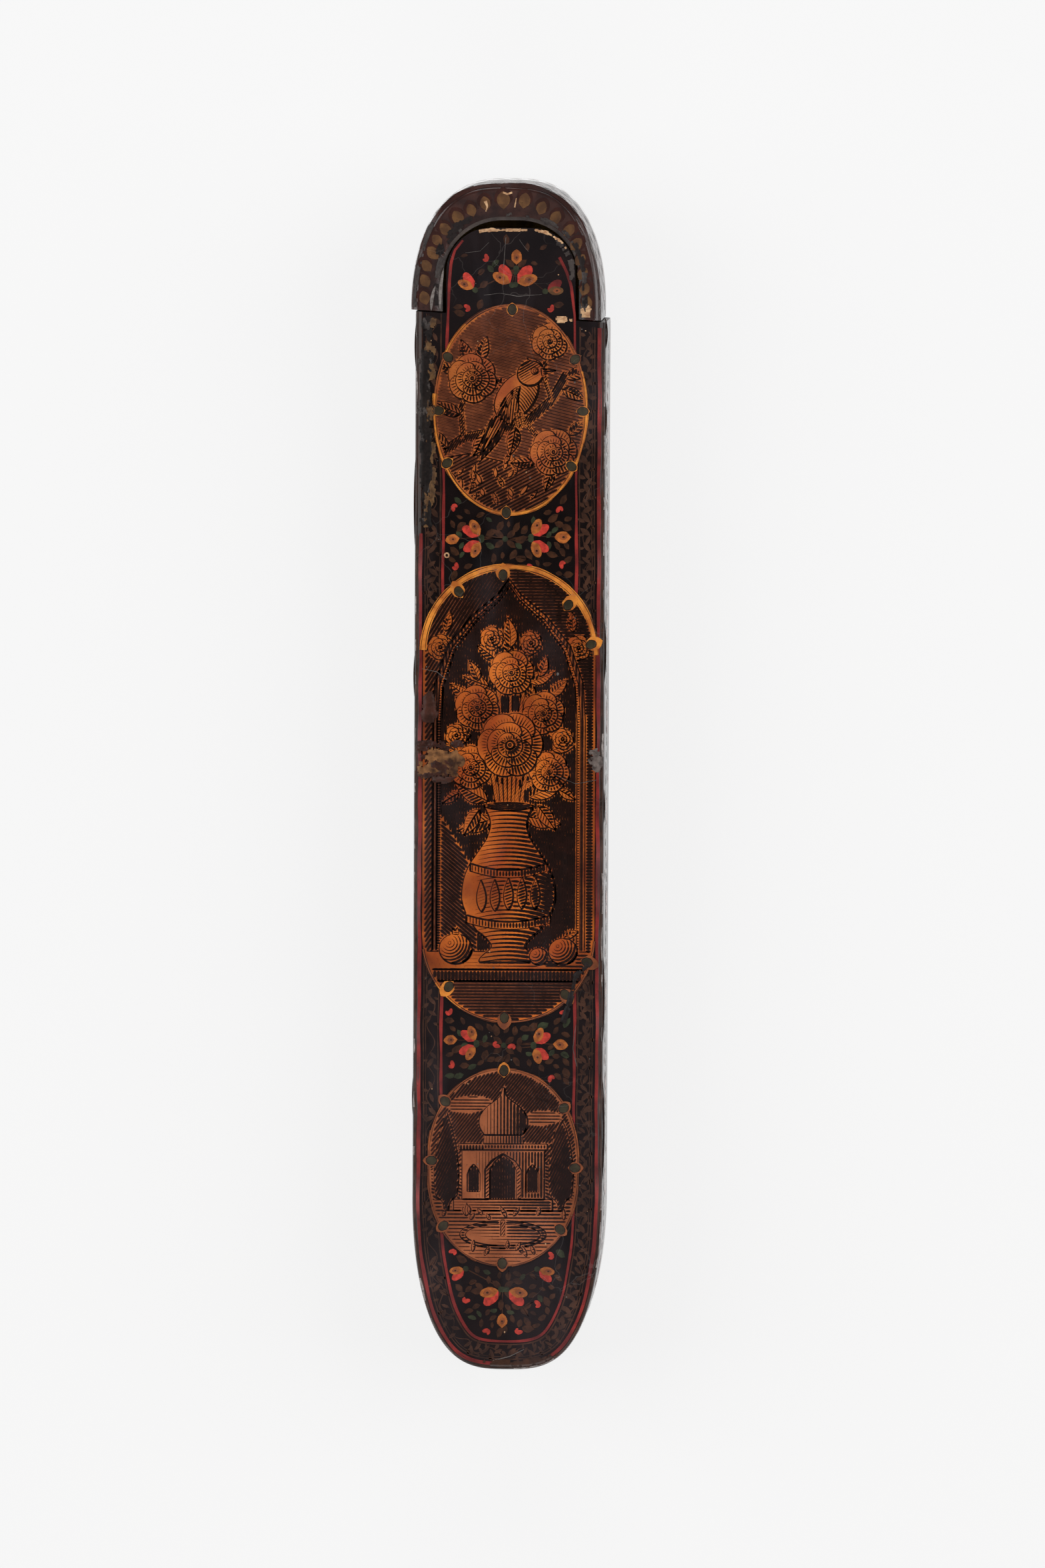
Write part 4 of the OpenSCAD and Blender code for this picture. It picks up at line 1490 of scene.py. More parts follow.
    def sides(self) -> None:
        """Paints the side walls: rules along both edges and a running spray between them."""
        p, height = self.painter, self.form.height
        for level, width, paint in ((3.4, 0.7, Paint.RULE), (4.4, 0.25, Paint.SCROLL)):
            for up in (level, height - level):
                p.line(paint, self.on.case.down, ((0.6, up), (self.length - 0.6, up)), width, 2)
        self._running_spray(self.on.case.down, self.length, height / 2, 5.4, 36.0)

    def underside(self) -> None:
        """Paints the underside: rules round it and small sprays down its middle."""
        p, under = self.painter, self.on.underside
        for inset, width, paint in ((3.2, 0.8, Paint.RULE), (4.6, 0.3, Paint.SCROLL)):
            p.line(paint, under, self.on.case.over(self._along(inset), 0)[:, :2], width, 1)
        for y in np.arange(-92.0, 84.0, 22.0):
            for angle in (0, 180):
                p.flower(under, (0, y), angle, 4.6, 1)
            for angle in (55, 125, -55, -125):
                p.stroke(Paint.BROWN, under, p.stamps.leaf, (0, y), 5.2, 2.0, angle, 1)
            for x in (-7.5, 7.5):
                p.floret(under, (x, y + 11), 1.7)

    def wear(self) -> None:
        """Draws hairline cracks, a nail's mark, specks and rubbed edges, whose pale and grey lines are partly
        chipped paint and partly painted highlights along the rounded edge.
        """
        p, chance, above = self.painter, self.chance, self.on.over_prints
        for width, path in CRACKS:
            p.line(Paint.HAIR, above, path, width, 8, 0.7, 0.6)
        p.stroke(Paint.PALE, above, p.stamps.dot, (-12.2, 42.45), 1.1, 1.1, 0, 8)
        p.stroke(Paint.DARK, above, p.stamps.dot, (-12.2, 42.7), 0.55, 0.5, 0, 9)
        p.stroke(Paint.HAIR, above, p.stamps.dot, (9.4, 19.8), 0.6, 0.5, 0, 9)
        for _ in range(60):
            at = (chance.uniform(-16.5, 16.5), chance.uniform(-108, 104))
            size = chance.uniform(0.1, 0.3)
            paint = chance.choice((Paint.PALE, Paint.HAIR, Paint.HAIR))
            p.stroke(paint, above, p.stamps.dot, at, size, size, 0, 9)
        # Rubbed edges: short pale grey, grey and brown lines on the rounding; the pale and grey ones are
        # chips and painted highlights both.
        spot = 1.0
        while spot < self.length - 8:
            run = chance.uniform(1.5, 9)
            path = ((spot, 0.25), (spot + run / 2, chance.uniform(0.1, 0.45)), (spot + run, 0.25))
            paint = chance.choice((Paint.CHIP_GLINT, Paint.HAIR, Paint.SCROLL))
            p.line(paint, self.on.case.over, path, chance.uniform(0.08, 0.24), 5, 0.8, 0.5)
            spot += run + chance.uniform(1, 9)

    def paint(self, shelf: FinishShelf) -> None:
        """Paints the whole case.

        Args:
            shelf: Holds the paints.
        """
        self.rules()
        self.scroll()
        for spray in SPRAYS:
            self.spray(spray)
        for pasted in PRINTS:
            self.rim(pasted)
        self.sides()
        self.underside()
        self.wear()
        self.painter.build(shelf, "case")


@dataclass
class DrawerOrnament:
    """The painted drawer: drops round the cap's face and side, and a gilt scroll on the trough's wall."""

    form: BoxForm
    on: Surfaces
    stamps: StampSet
    drops: tuple[Point, ...] = (
        (-16.7, 92.8), (-16.6, 96.1), (-16.3, 99), (-15.1, 101.5), (-14.3, 104), (-12.7, 106.1),
        (-10.3, 108.3), (-7.7, 109.8), (-5, 111.1), (-1.5, 111.8), (2.6, 111.7), (5.9, 110.3), (8.6, 108.4),
        (11.2, 106), (12.6, 103.3), (13.4, 100.3), (13.9, 97.6), (14.3, 94.6), (14.7, 91.9))
    drop_length: Point = (2.6, 3.2)
    scroll_level: float = 14.0

    def __post_init__(self) -> None:
        """Starts a painter for the drawer."""
        self.painter = Painter("drawer", self.stamps, 23)
        self.chance = random.Random(9)

    def face(self) -> None:
        """Paints the drops round the cap's face, each over its shadow."""
        p, face = self.painter, self.on.face
        heart = np.array([-self.form.cap_shift, self.form.mouth_y + 3])
        for spot in self.drops:
            out = np.array(spot) - heart
            angle = math.degrees(math.atan2(-out[0], out[1])) * min(1, max(0, (spot[1] - 90) / 16))
            length = self.chance.uniform(*self.drop_length) * (1.2 if abs(out[0]) < 4 else 1.0)
            root = ahead(spot, angle, -length / 2)
            p.stroke(Paint.HALO, face, p.stamps.drop, ahead(root, angle, 0.3), length + 0.5, length, angle, 1)
            p.stroke(Paint.GOLD, face, p.stamps.drop, root, length, 0.7 * length, angle, 2)

    def sides(self) -> None:
        """Paints rules, drops and leaves on the cap's side, and worn lines along its edge, the grey ones
        partly painted highlights.
        """
        p, chance, cap, height = self.painter, self.chance, self.on.cap, self.form.height
        ends = (0.5, cap.length - 0.5)
        for inset, width in ((0.6, 0.8), (1.4, 0.3)):
            p.line(Paint.HALO, cap.over, [(end, inset) for end in ends], width, 2, 0.4)
        for level in (3.4, height - 3.4):
            p.line(Paint.RULE, cap.down, [(end, level) for end in ends], 0.7, 2)
        for spot in np.arange(2.4, cap.length - 2, 3.4):
            for root, angle in ((6.0, 0), (height - 6.0, 180)):
                p.stroke(Paint.GOLD, cap.down, p.stamps.drop, (spot, root), 4.2, 2.3, angle, 2)
            angle = chance.uniform(20, 70)
            p.leaf(cap.down, (spot + 1.7, height / 2), 3.4, angle, chance.choice((Paint.RULE, Paint.SCROLL)))
        # Worn lines along the cap's rounded edge; the grey ones also stand as painted highlights.
        spot = 0.8
        while spot < cap.length - 5:
            run = chance.uniform(1, 6)
            path = ((spot, 0.2), (spot + run / 2, chance.uniform(0.1, 0.5)), (spot + run, 0.2))
            paint = chance.choice((Paint.BROWN, Paint.SCROLL, Paint.HAIR))
            p.line(paint, cap.over, path, chance.uniform(0.08, 0.24), 4, 0.8, 0.5)
            spot += run + chance.uniform(0.5, 5)

    def trough(self) -> None:
        """Paints a gilt scroll between two lines on the trough's outer wall."""
        p, chance, edge, level = self.painter, self.chance, self.on.drawer, self.scroll_level
        for up in (level - 7.5, level + 7.5):
            p.line(Paint.RIM, edge.down, ((0.5, up), (edge.length - 0.5, up)), 0.35, 1, 0.3)
        at = np.arange(1, edge.length - 1, 0.8)
        p.line(Paint.RUST, edge.down, np.c_[at, wave(at, level, 3, 22)], 0.3, 1, 0.3)
        for spot in np.arange(2, edge.length - 2, 2.2):
            for way in (-1, 1):
                leaf = (spot, wave(spot, level, 3, 22) + 1.5 * way)
                length = chance.uniform(2.2, 3.4)
                p.leaf(edge.down, leaf, length, -90 + way * 50, chance.choice((Paint.RIM, Paint.RUST)))

    def paint(self, shelf: FinishShelf) -> None:
        """Paints the whole drawer.

        Args:
            shelf: Holds the paints.
        """
        self.face()
        self.sides()
        self.trough()
        scuffs = ((((-5, 111.6), (-4.6, 110.6), (-4.9, 109.6)), 0.4), (((1, 112.2), (0.7, 110.4)), 0.2),
                  (((-1.6, 113.3), (-0.7, 113), (0.2, 113.3)), 0.3))
        for path, width in scuffs:
            self.painter.line(Paint.PALE, self.on.face, path, width, 6, 0.6, 0.3)
        self.painter.build(shelf, "drawer")


# Engraved prints


@dataclass
class Figure:
    """One form in an engraving: its outline, and how its lines run and darken."""

    outline: Array
    tone: float = 0.5
    angle: float = 0.0
    hatch: Hatch = Hatch.STRAIGHT
    pitch: float = 0.5
    slope: Point = (0.0, 0.0)
    bow: float = 0.0
    centre: Point = (0.0, 0.0)
    inner: float | None = None
    line: float = 0.2
    wash: bool = False

    def tones(self, points: Array) -> Array:
        """Works out the share of ink: a slope across the form, or a change away from its centre.

        Args:
            points: Where it is worked out.

        Returns:
            One share for each point.
        """
        low, high = self.outline.min(0), self.outline.max(0)
        unit = (points - (low + high) / 2) / np.maximum((high - low) / 2, 1e-6)
        tone = self.tone + unit @ np.array(self.slope)
        if self.inner is not None:
            reach = np.hypot(*(self.outline - self.centre).T).max()
            away = np.clip(np.hypot(*(points - self.centre).T) / reach, 0, 1)
            tone = tone + (self.inner - self.tone) * (1 - away) ** 1.2
        return np.clip(tone, 0, 1.03)

    def lines(self, step: float = 0.32) -> list[tuple[Array, Array]]:
        """Lays the form's lines, unclipped.

        Args:
            step: Spacing of points along a line.

        Returns:
            Each line's points, and the room between lines at each point.
        """
        made = []
        if self.hatch is Hatch.STRAIGHT:
            turn = math.radians(self.angle)
            along, across = np.array([(math.cos(turn), math.sin(turn)), (-math.sin(turn), math.cos(turn))])
            s, c = self.outline @ along, self.outline @ across
            run = np.arange(s.min() - step, s.max() + step, step)
            arc = self.bow * ((run - run.mean()) / max(np.ptp(s) / 2, 1e-6)) ** 2
            reach = abs(self.bow)
            room = np.full(len(run), self.pitch)
            for offset in np.arange(c.min() - reach, c.max() + reach, self.pitch):
                made.append((np.outer(run, along) + np.outer(offset + arc, across), room))
            return made
        far = np.hypot(*(self.outline - self.centre).T).max()
        if self.hatch is Hatch.RINGS:
            for radius in np.arange(0.5 * self.pitch, far, self.pitch):
                ring = ellipse(*self.centre, radius, radius, 0, max(10, int(2 * math.pi * radius / step)))
                made.append((np.vstack([ring, ring[:1]]), np.full(len(ring) + 1, self.pitch)))
            return made
        count = max(6, int(2 * math.pi * 0.7 * far / self.pitch))
        radii = np.arange(0.12 * far, far, step)
        for t in np.arange(count) * 2 * math.pi / count:
            ray = np.outer(radii, (math.cos(t), math.sin(t))) + self.centre
            made.append((ray, np.minimum(2 * math.pi * radii / count, 1.3 * self.pitch)))
        return made


def ellipse(x: float, y: float, half_x: float, half_y: float, angle: float = 0.0,
            corners: int = 22) -> Array:
    """Returns the corners of an ellipse turned by an angle."""
    t = np.linspace(0, 2 * math.pi, corners, endpoint=False)
    return turn_by(np.c_[half_x * np.cos(t), half_y * np.sin(t)], angle) + (x, y)


def blade(x: float, y: float, length: float, width: float, angle: float, curl: float = 0.0,
          sides: Point = (-1, 1)) -> Array:
    """Lays out a pointed leaf.

    Args:
        x: Place of its root.
        y: Place of its root.
        length: Its length.
        width: Its width.
        angle: Its heading.
        curl: How far its tip bends aside, as a share of its length.
        sides: How far each half reaches from the midrib, as a share.

    Returns:
        Its corners.
    """
    t = np.linspace(0, 1, 9)
    swell = 0.5 * width * np.sin(math.pi * t ** 0.8)
    left, right = (np.c_[side * swell + curl * length * t ** 2, length * t] for side in sides)
    return turn_by(np.vstack([right, left[-2:0:-1]]), angle) + (x, y)


def turned(profile: Sequence[Point], x: float = 0.0) -> Array:
    """Lays out a turned vessel.

    Args:
        profile: Half widths and heights of its right side, from the foot up.
        x: Where its middle stands.

    Returns:
        Its outline.
    """
    side = between(np.linspace(0, 1, 40), np.linspace(0, 1, len(profile)), np.array(profile, float))
    side[2:-2, 0] = np.convolve(side[:, 0], np.ones(5) / 5, "valid")
    return np.vstack([side, (side * (-1, 1))[::-1]]) + (x, 0)


@dataclass
class Plate:
    """An engraved picture: figures from the back to the front, cut into lines of ink."""

    pasted: PrintForm
    seed: int
    figures: list[Figure] = field(default_factory=list)

    def __post_init__(self) -> None:
        """Starts its own run of chance."""
        self.chance = random.Random(self.seed)

    def add(self, outline: Array | Sequence[Point], tone: float, **how: object) -> None:
        """Adds a figure in front of the others."""
        self.figures.append(Figure(np.asarray(outline, float), tone, **how))

    def box(self, x0: float, y0: float, x1: float, y1: float, tone: float, **how: object) -> None:
        """Adds an upright rectangle."""
        self.add([(x0, y0), (x1, y0), (x1, y1), (x0, y1)], tone, **how)

    def leaf(self, x: float, y: float, length: float, angle: float, tone: float = 0.8,
             curl: float = 0.1) -> None:
        """Adds a leaf with one dark and one light half.

        Args:
            x: Place of its root.
            y: Place of its root.
            length: Its length.
            angle: Its heading.
            tone: About the dark half's share of ink.
            curl: How far its tip bends aside, as a share of its length.
        """
        for sides, dark, lean in (((-1, 0), tone + 0.1, 50), ((0, 1), tone - 0.35, -50)):
            shape = blade(x, y, length, 0.46 * length, angle, curl, sides)
            self.add(shape, dark, angle=angle + 90 + lean, pitch=0.55, line=0.22)

    def rose(self, x: float, y: float, r: float) -> None:
        """Adds an open rose of overlapping petals about a coiled heart, darker at the lower right.

        Args:
            x: Place of its heart.
            y: Place of its heart.
            r: Its radius.
        """
        turn = self.chance.uniform(0, 60)
        for ring, (count, at, size) in enumerate(((6, 0.6, 0.48), (5, 0.36, 0.4), (4, 0.16, 0.28))):
            for k in range(count):
                angle = turn + 360 * k / count + 25 * ring
                away = at * r * np.array([math.cos(math.radians(angle)), math.sin(math.radians(angle))])
                petal = ellipse(*away + (x, y), 0.84 * size * r, 1.08 * size * r, angle, 18)
                shade = 0.1 + 0.3 * math.cos(math.radians(angle) + 0.7)
                self.add(petal, shade, hatch=Hatch.RADIAL, centre=(x, y), inner=2.1 + shade, line=0.26)
        self.add(ellipse(x, y, 0.16 * r, 0.14 * r, 30, 12), 0.7, hatch=Hatch.RINGS, centre=(x, y))

    def stem(self, path: Sequence[Point], width: float, tone: float = 0.8) -> None:
        """Adds a stem or branch.

        Args:
            path: Points along it.
            width: Its width.
            tone: Its share of ink.
        """
        line = resample(path, 1.0)
        side = left_of(line) * width / 2
        self.add(np.vstack([line + side, (line - side)[::-1]]), tone, angle=60, pitch=0.36, line=0.15)

    def ink(self, sheet: PaintSheet, wash: PaintSheet, lift: float) -> None:
        """Cuts every figure into ribbons of ink, over a brown wash where it has one.

        Args:
            sheet: Takes the ink.
            wash: Takes the wash.
            lift: Height of the ink above the paper; the wash lies half as high.
        """
        frame_line = self.pasted.outline(-0.35)
        for index, figure in enumerate(self.figures):
            edge = resample(np.vstack([figure.outline, figure.outline[:1]]), 0.3)
            runs = [(line, room, False) for line, room in figure.lines()]
            if figure.line > 0:
                shade = 1 + 0.5 * (left_of(edge) @ np.array([-0.7, 0.7]))
                runs.append((edge, figure.line * shade, True))
            spots = np.vstack([line for line, _, _ in runs])
            seen = inside(spots, frame_line)
            low, high = spots.min(0), spots.max(0)
            for other in self.figures[index + 1:]:
                if (other.outline.min(0) < high).all() and (other.outline.max(0) > low).all():
                    seen &= ~inside(spots, other.outline)
            within, tones = inside(spots, figure.outline), figure.tones(spots)
            start = 0
            for line, room, is_edge in runs:
                part = slice(start, start + len(line))
                shown = seen[part] & (is_edge | within[part])
                if figure.wash and not is_edge:
                    self._ribbon(wash, line, np.where(shown, 1.06 * room, 0), lift / 2)
                self._ribbon(sheet, line, np.where(shown, room if is_edge else room * tones[part], 0), lift)
                start = part.stop

    def _ribbon(self, sheet: PaintSheet, line: Array, width: Array, lift: float) -> None:
        """Adds the stretches of one line that carry ink.

        Args:
            sheet: Takes the ink.
            line: Points along the line.
            width: Width of the ink at each point.
            lift: Height of the ink above the paper.
        """
        wet = width > 0.035
        side = left_of(line)
        cuts = np.flatnonzero(np.diff(wet.astype(int))) + 1
        for run in np.split(np.arange(len(line)), cuts):
            if not wet[run[0]] or len(run) < 2:
                continue
            burin = np.array([1 + 0.12 * self.chance.uniform(-1, 1) for _ in run])
            half = (0.5 * width[run] * burin)[:, None]
            half[[0, -1]] *= 0.45
            flat = line[run] + self.pasted.centre
            top = np.full((len(run), 1), self.pasted.top + lift)
            sheet.strip(np.hstack([flat + side[run] * half, top]), np.hstack([flat - side[run] * half, top]))


@dataclass
class Prints:
    """The three engraved prints: a bird on a rose branch, a vase of flowers, and a garden pavilion."""

    shelf: FinishShelf
    ink_lift: float = 0.014

    def build(self) -> None:
        """Dresses each print's paper and lays its ink."""
        designs = (self._bird, self._vase, self._pavilion)
        for seed, (pasted, design) in enumerate(zip(PRINTS, designs)):
            self.shelf.dress(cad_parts[pasted.node], pasted.node)
            LOG.info("%s is dressed in its own paper", pasted.node)
            plate = Plate(pasted, 40 + seed)
            design(plate)
            sheets = {part: PaintSheet(f"{pasted.node}_{part}") for part in ("ink", "wash")}
            plate.ink(*sheets.values(), self.ink_lift)
            for part, sheet in sheets.items():
                sheet.build(self.shelf.made[part], "case", "varnished_print")

    @staticmethod
    def _bird(plate: Plate) -> None:
        """Draws a bird on a branch of roses over tufted ground.

        Args:
            plate: Takes the drawing.
        """
        w, h, chance, add, box = 16, 22, plate.chance, plate.add, plate.box
        box(-w, -h, w, h, 0.2, angle=-14, pitch=0.6, slope=(0.12, -0.07), line=0, wash=True)
        add([(-w, -10), (-8, -8.6), (0, -10.4), (8, -9.2), (w, -11), (w, -h), (-w, -h)], 0.55, angle=28,
            pitch=0.6, slope=(-0.12, -0.16), wash=True)
        for _ in range(30):
            tuft = blade(chance.uniform(-13, 13), chance.uniform(-19, -10.5), chance.uniform(1.6, 3), 0.8,
                         chance.uniform(-40, 40))
            add(tuft, chance.choice((0.05, 0.95)))
        for path, width in ((((-14, -9), (-9, -5.5), (-3, -4.4), (3, -2.6), (8, 1.8), (11, 7)), 1.6),
                            (((-9, -5.5), (-9.6, 0), (-7.4, 5.4)), 0.9),
                            (((3, -2.6), (6.2, -6.2), (8.6, -7.4)), 0.9),
                            (((8, 1.8), (6.4, 7), (7.2, 11.6)), 0.7)):
            plate.stem(path, width, 0.95)
        for x, y, length, angle in (
                (-12, -7.6, 5.4, 50), (-9.6, -1, 5.6, 70), (-9.2, 1.6, 5.2, -50), (-5, -4.6, 5, 160),
                (1, -3.4, 5.6, 175), (6, -6, 5, -100), (9.4, -7.6, 5.2, -140), (10.8, 6, 5.2, -60),
                (10, 4, 5, -110), (6.5, 7.6, 4.2, 60), (7.2, 11.4, 5, -30), (7, 11, 4.6, 50),
                (-7.6, 9, 5, 30), (-9.6, 7.4, 5, 80), (-6, 9, 5.4, -10), (-4, 4.5, 4.6, -70),
                (11.5, -5, 4.6, -40), (5, -10, 5, 100), (8, -11.5, 4.4, 170)):
            plate.leaf(x, y, length, angle, 0.95)
        for x, y, r in ((-7.4, 6, 4.8), (8.4, -8.2, 4.6), (7.6, 13.2, 3.6)):
            plate.rose(x, y, r)
        add(blade(-1, 0.6, 12, 3.4, 158, 0.05), 1, angle=68)
        add(blade(-0.4, 0.8, 10.4, 1.5, 150, -0.03), 0.5, angle=62)
        add(ellipse(1.2, 2.6, 5.4, 3.5, 52, 26), 0.22, angle=140, bow=0.8, slope=(0.3, -0.4), line=0.36)
        add(ellipse(3.9, 7, 2.6, 2.4, 20, 20), 0.35, angle=30, pitch=0.45, slope=(-0.3, 0.45), line=0.36)
        add([(5.9, 8), (9, 7.6), (6.1, 6.5)], 0.9, angle=5, pitch=0.4)
        add(ellipse(4.7, 7.5, 0.75, 0.7, 0, 12), 0, pitch=0.4)
        add(ellipse(4.8, 7.5, 0.45, 0.45, 0, 10), 1, pitch=0.28)
        for k in range(5):
            feather = blade(1.9 - 0.25 * k, 4.6 - 0.5 * k, 7.8 - 0.5 * k, 2, 146 + 7 * k, 0.06)
            add(feather, 0.98 - 0.12 * k, angle=60 + 6 * k, line=0.25)
        for x in (1.6, 2.6):
            plate.stem(((x - 0.6, -0.6), (x, -3.1)), 0.5, 1)

    @staticmethod
    def _vase(plate: Plate) -> None:
        """Draws a vase of roses in an arched niche, with fruit on its ledge.

        Args:
            plate: Takes the drawing.
        """
        w, h, chance, add, box = 18, 46, plate.chance, plate.add, plate.box
        rise = np.array([(-13.2, -31), (-13.2, 14), (-12.8, 21), (-10.6, 28), (-6.5, 33.5), (-2, 37.6)])
        arch = np.vstack([rise, [(0, 40.5)], (rise * (-1, 1))[::-1]])
        box(-w, -h, 0, h, 0.72, angle=58, pitch=0.6, slope=(0.1, 0.1), line=0, wash=True)
        box(0, -h, w, h, 0.78, pitch=0.6, slope=(0.12, 0.1), line=0, wash=True)
        for way in (-1, 1):
            plate.rose(way * 13.4, 28.5, 2.5)
            plate.leaf(way * 12.4, 31.5, 4, way * 10)
        add(arch * (1.12, 1.03), 0.55, angle=90, pitch=0.6, line=0.34, wash=True)
        add(arch * (1.05, 1.013), 0.9, line=0.24, wash=True)
        add(arch, 1.02, angle=90, line=0.34)
        add([(-13.2, -31), (-13.2, -4), (-6, -16), (-6, -31)], 0.74, angle=-40, pitch=0.6, line=0, wash=True)
        box(-w, -34, w, -30.5, 0.25, pitch=0.7, slope=(0.4, 0), line=0.34)
        box(-w, -36.2, w, -34, 0.8, angle=90, pitch=0.7, line=0.3, wash=True)
        box(-w, -h, w, -36.2, 0.66, pitch=0.6, slope=(0.25, -0.1), wash=True)
        add([(0.5, -31), (12.8, -31), (12.8, -32.8), (6, -33.4)], 1, line=0)
        for x, y in ((-7.6, 5), (8, 4), (0, 10), (-6.6, 16), (6.8, 15), (0.4, 23), (-10.6, 11), (10.8, 10.5),
                     (-3.4, 30), (4.2, 29)):
            plate.stem(((0.12 * x, -8), (0.3 * x, 0.35 * y), (x, y)), 0.7, 0.2)
        for x, y, length, angle in (
                (3, -4.5, 7.4, 102), (4, -1, 7.6, 62), (8.4, 8.2, 4.6, 72), (7.3, 11.8, 5, 98),
                (3, 15.5, 5.4, 28), (7.8, 18.4, 5, 40), (3.9, 21.4, 5.4, 74), (2.3, 26.2, 5, 46),
                (5.6, -2.5, 6, 142), (9.6, 0.6, 4, 116), (5.9, 22.4, 4.4, 20), (0.2, 28, 6, 3)):
            for way in (-1, 1):
                curl = chance.uniform(-0.15, 0.15)
                plate.leaf(way * x, y + 0.4 * way, length, -way * angle, chance.uniform(0.5, 0.8), curl)
        for x, y, r in ((-3.4, 30.2, 2.3), (4.2, 29.4, 2.2), (-10.2, 11.4, 2.2), (10.4, 10.8, 2.1),
                        (-7.4, 5.2, 4.2), (7.8, 4.4, 4), (-6.2, 16.8, 4.4), (6.6, 15.8, 4.2),
                        (0.4, 23.6, 4.4), (0.2, 9.6, 6.4)):
            plate.rose(x, y, r)
        vessel = ((5.6, -32.6), (5.8, -31.6), (3.4, -30.2), (2.8, -28.8), (6.2, -26.5), (8.9, -22.5),
                  (9.4, -18.5), (8, -13.8), (5, -10.2), (3.5, -7.2), (3.4, -4.6), (4.9, -2.6), (4.7, -2))
        add(turned(vessel), 0.46, bow=-1.8, pitch=0.8, slope=(0.6, -0.06), line=0.36)
        t = np.linspace(-1, 1, 15)
        for level, half, depth in ((-13.4, 7.4, 1.5), (-23.4, 8.2, 1.5)):
            rim = np.c_[half * t, level - 1.3 * (1 - t ** 2)]
            band = np.vstack([rim, (rim - (0, depth))[::-1]])
            add(band, 0.7, angle=90, pitch=0.6, slope=(0.4, 0), line=0.3)
        for k in range(5):
            gadroon = blade(-5.2 + 2.6 * k, -22.6 - 0.3 * math.cos(k), 6.4, 1.9, 0, 0.01 * (k - 2))
            add(gadroon, 0.1 + 0.22 * k, angle=20, pitch=0.55, line=0.28)
        add(ellipse(0, -2.3, 4.6, 0.8, 0, 20), 1, pitch=0.34)
        for x, y, r in ((-10.2, -30, 3.2), (10.6, -30.4, 2.8), (5.9, -31.4, 1.8)):
            add(ellipse(x, y, r, 0.92 * r, 0, 24), 0.45, hatch=Hatch.RINGS, pitch=0.6, slope=(0.45, -0.35),
                centre=(x - 0.36 * r, y + 0.36 * r), line=0.3)
        add([(-10.8, -27.2), (-10.9, -25.9), (-10.3, -26.5), (-9.8, -25.8), (-9.5, -27.2)], 0.6, pitch=0.34)
        plate.leaf(10.6, -27.8, 3.4, -60)

    @staticmethod
    def _pavilion(plate: Plate) -> None:
        """Draws a domed pavilion between cypresses, with a pool before it.

        Args:
            plate: Takes the drawing.
        """
        w, h, chance, add, box = 16, 21, plate.chance, plate.add, plate.box
        box(-w, -h, w, h, 0.6, angle=52, slope=(0.12, 0.14), line=0, wash=True)
        for x, y, half in ((-6.5, 12.2, 4.5), (7.4, 9.6, 4)):
            add(ellipse(x, y, half, 0.34 * half, 3, 20), 0.4, pitch=0.6, line=0)
        add([(-w, -2), (-11, 1.6), (-6, -0.4), (0, 2), (6, 0), (11, 2.2), (w, -1), (w, -8), (-w, -8)], 0.75,
            angle=-30, pitch=0.55, wash=True)
        box(-w, -h, w, -6.4, 0.34, pitch=0.7, slope=(0.1, 0.25))
        box(-9.6, -8.4, 9.6, -6.2, 0.5, pitch=0.55, slope=(0.35, 0), line=0.28)
        box(-8, -6.2, 8, 3.4, 0.36, angle=90, pitch=0.6, slope=(0.42, 0), line=0.28)
        box(-8.6, 3.4, 8.6, 4.6, 0.7, angle=90, pitch=0.6, line=0.28)
        door = np.array([(-2.6, -6.2), (-2.6, -0.6), (-1.7, 1.1), (0, 2.5), (1.7, 1.1), (2.6, -0.6),
                         (2.6, -6.2)])
        add(door * (1.35, 1) + (0, 0.2), 0.45, angle=45, line=0.26)
        add(door, 1, angle=90)
        for x in (-5.7, 5.7):
            add(door * (0.48, 0.62) + (x, -0.9), 1, angle=90)
        add([(-3.9, 4.6), (3.9, 4.6), (3.7, 6.3), (-3.7, 6.3)], 0.5, angle=90, pitch=0.55, slope=(0.4, 0))
        dome = ((3.7, 6.3), (4.5, 7.5), (4.8, 8.9), (4.4, 10.5), (3, 12), (1.4, 13.1), (0.5, 14),
                (0.15, 15.6))
        add(turned(dome), 0.5, angle=90, pitch=0.65, slope=(0.6, -0.05), line=0.3)
        for x, top in ((-11, 10.6), (11.2, 9.4)):
            tree = ((0.5, -8.4), (0.6, -6.8), (2.2, -5.4), (2.5, -1), (2, 3.6), (1.1, 7.4), (0.1, top))
            add(turned(tree, x), 0.9, angle=64, slope=(0.16, -0.1), wash=True)
        add(ellipse(0, -13, 8.4, 2.7, 0, 30), 0.75, slope=(0.1, 0.2), line=0.3)
        add(ellipse(0, -13.1, 7.3, 2.1, 0, 30), 0.35, pitch=0.6, slope=(0.4, 0.3), line=0.24)
        plate.stem(((0, -13.4), (0, -10.2)), 0.8, 0.5)
        for _ in range(24):
            level = chance.choice((chance.uniform(-18, -15.6), chance.uniform(-10.2, -9)))
            place = (chance.uniform(-12.5, 12.5), level)
            tuft = blade(*place, chance.uniform(1.4, 2.6), 0.7, chance.uniform(-40, 40))
            add(tuft, 0.85)


# Pieces of the box


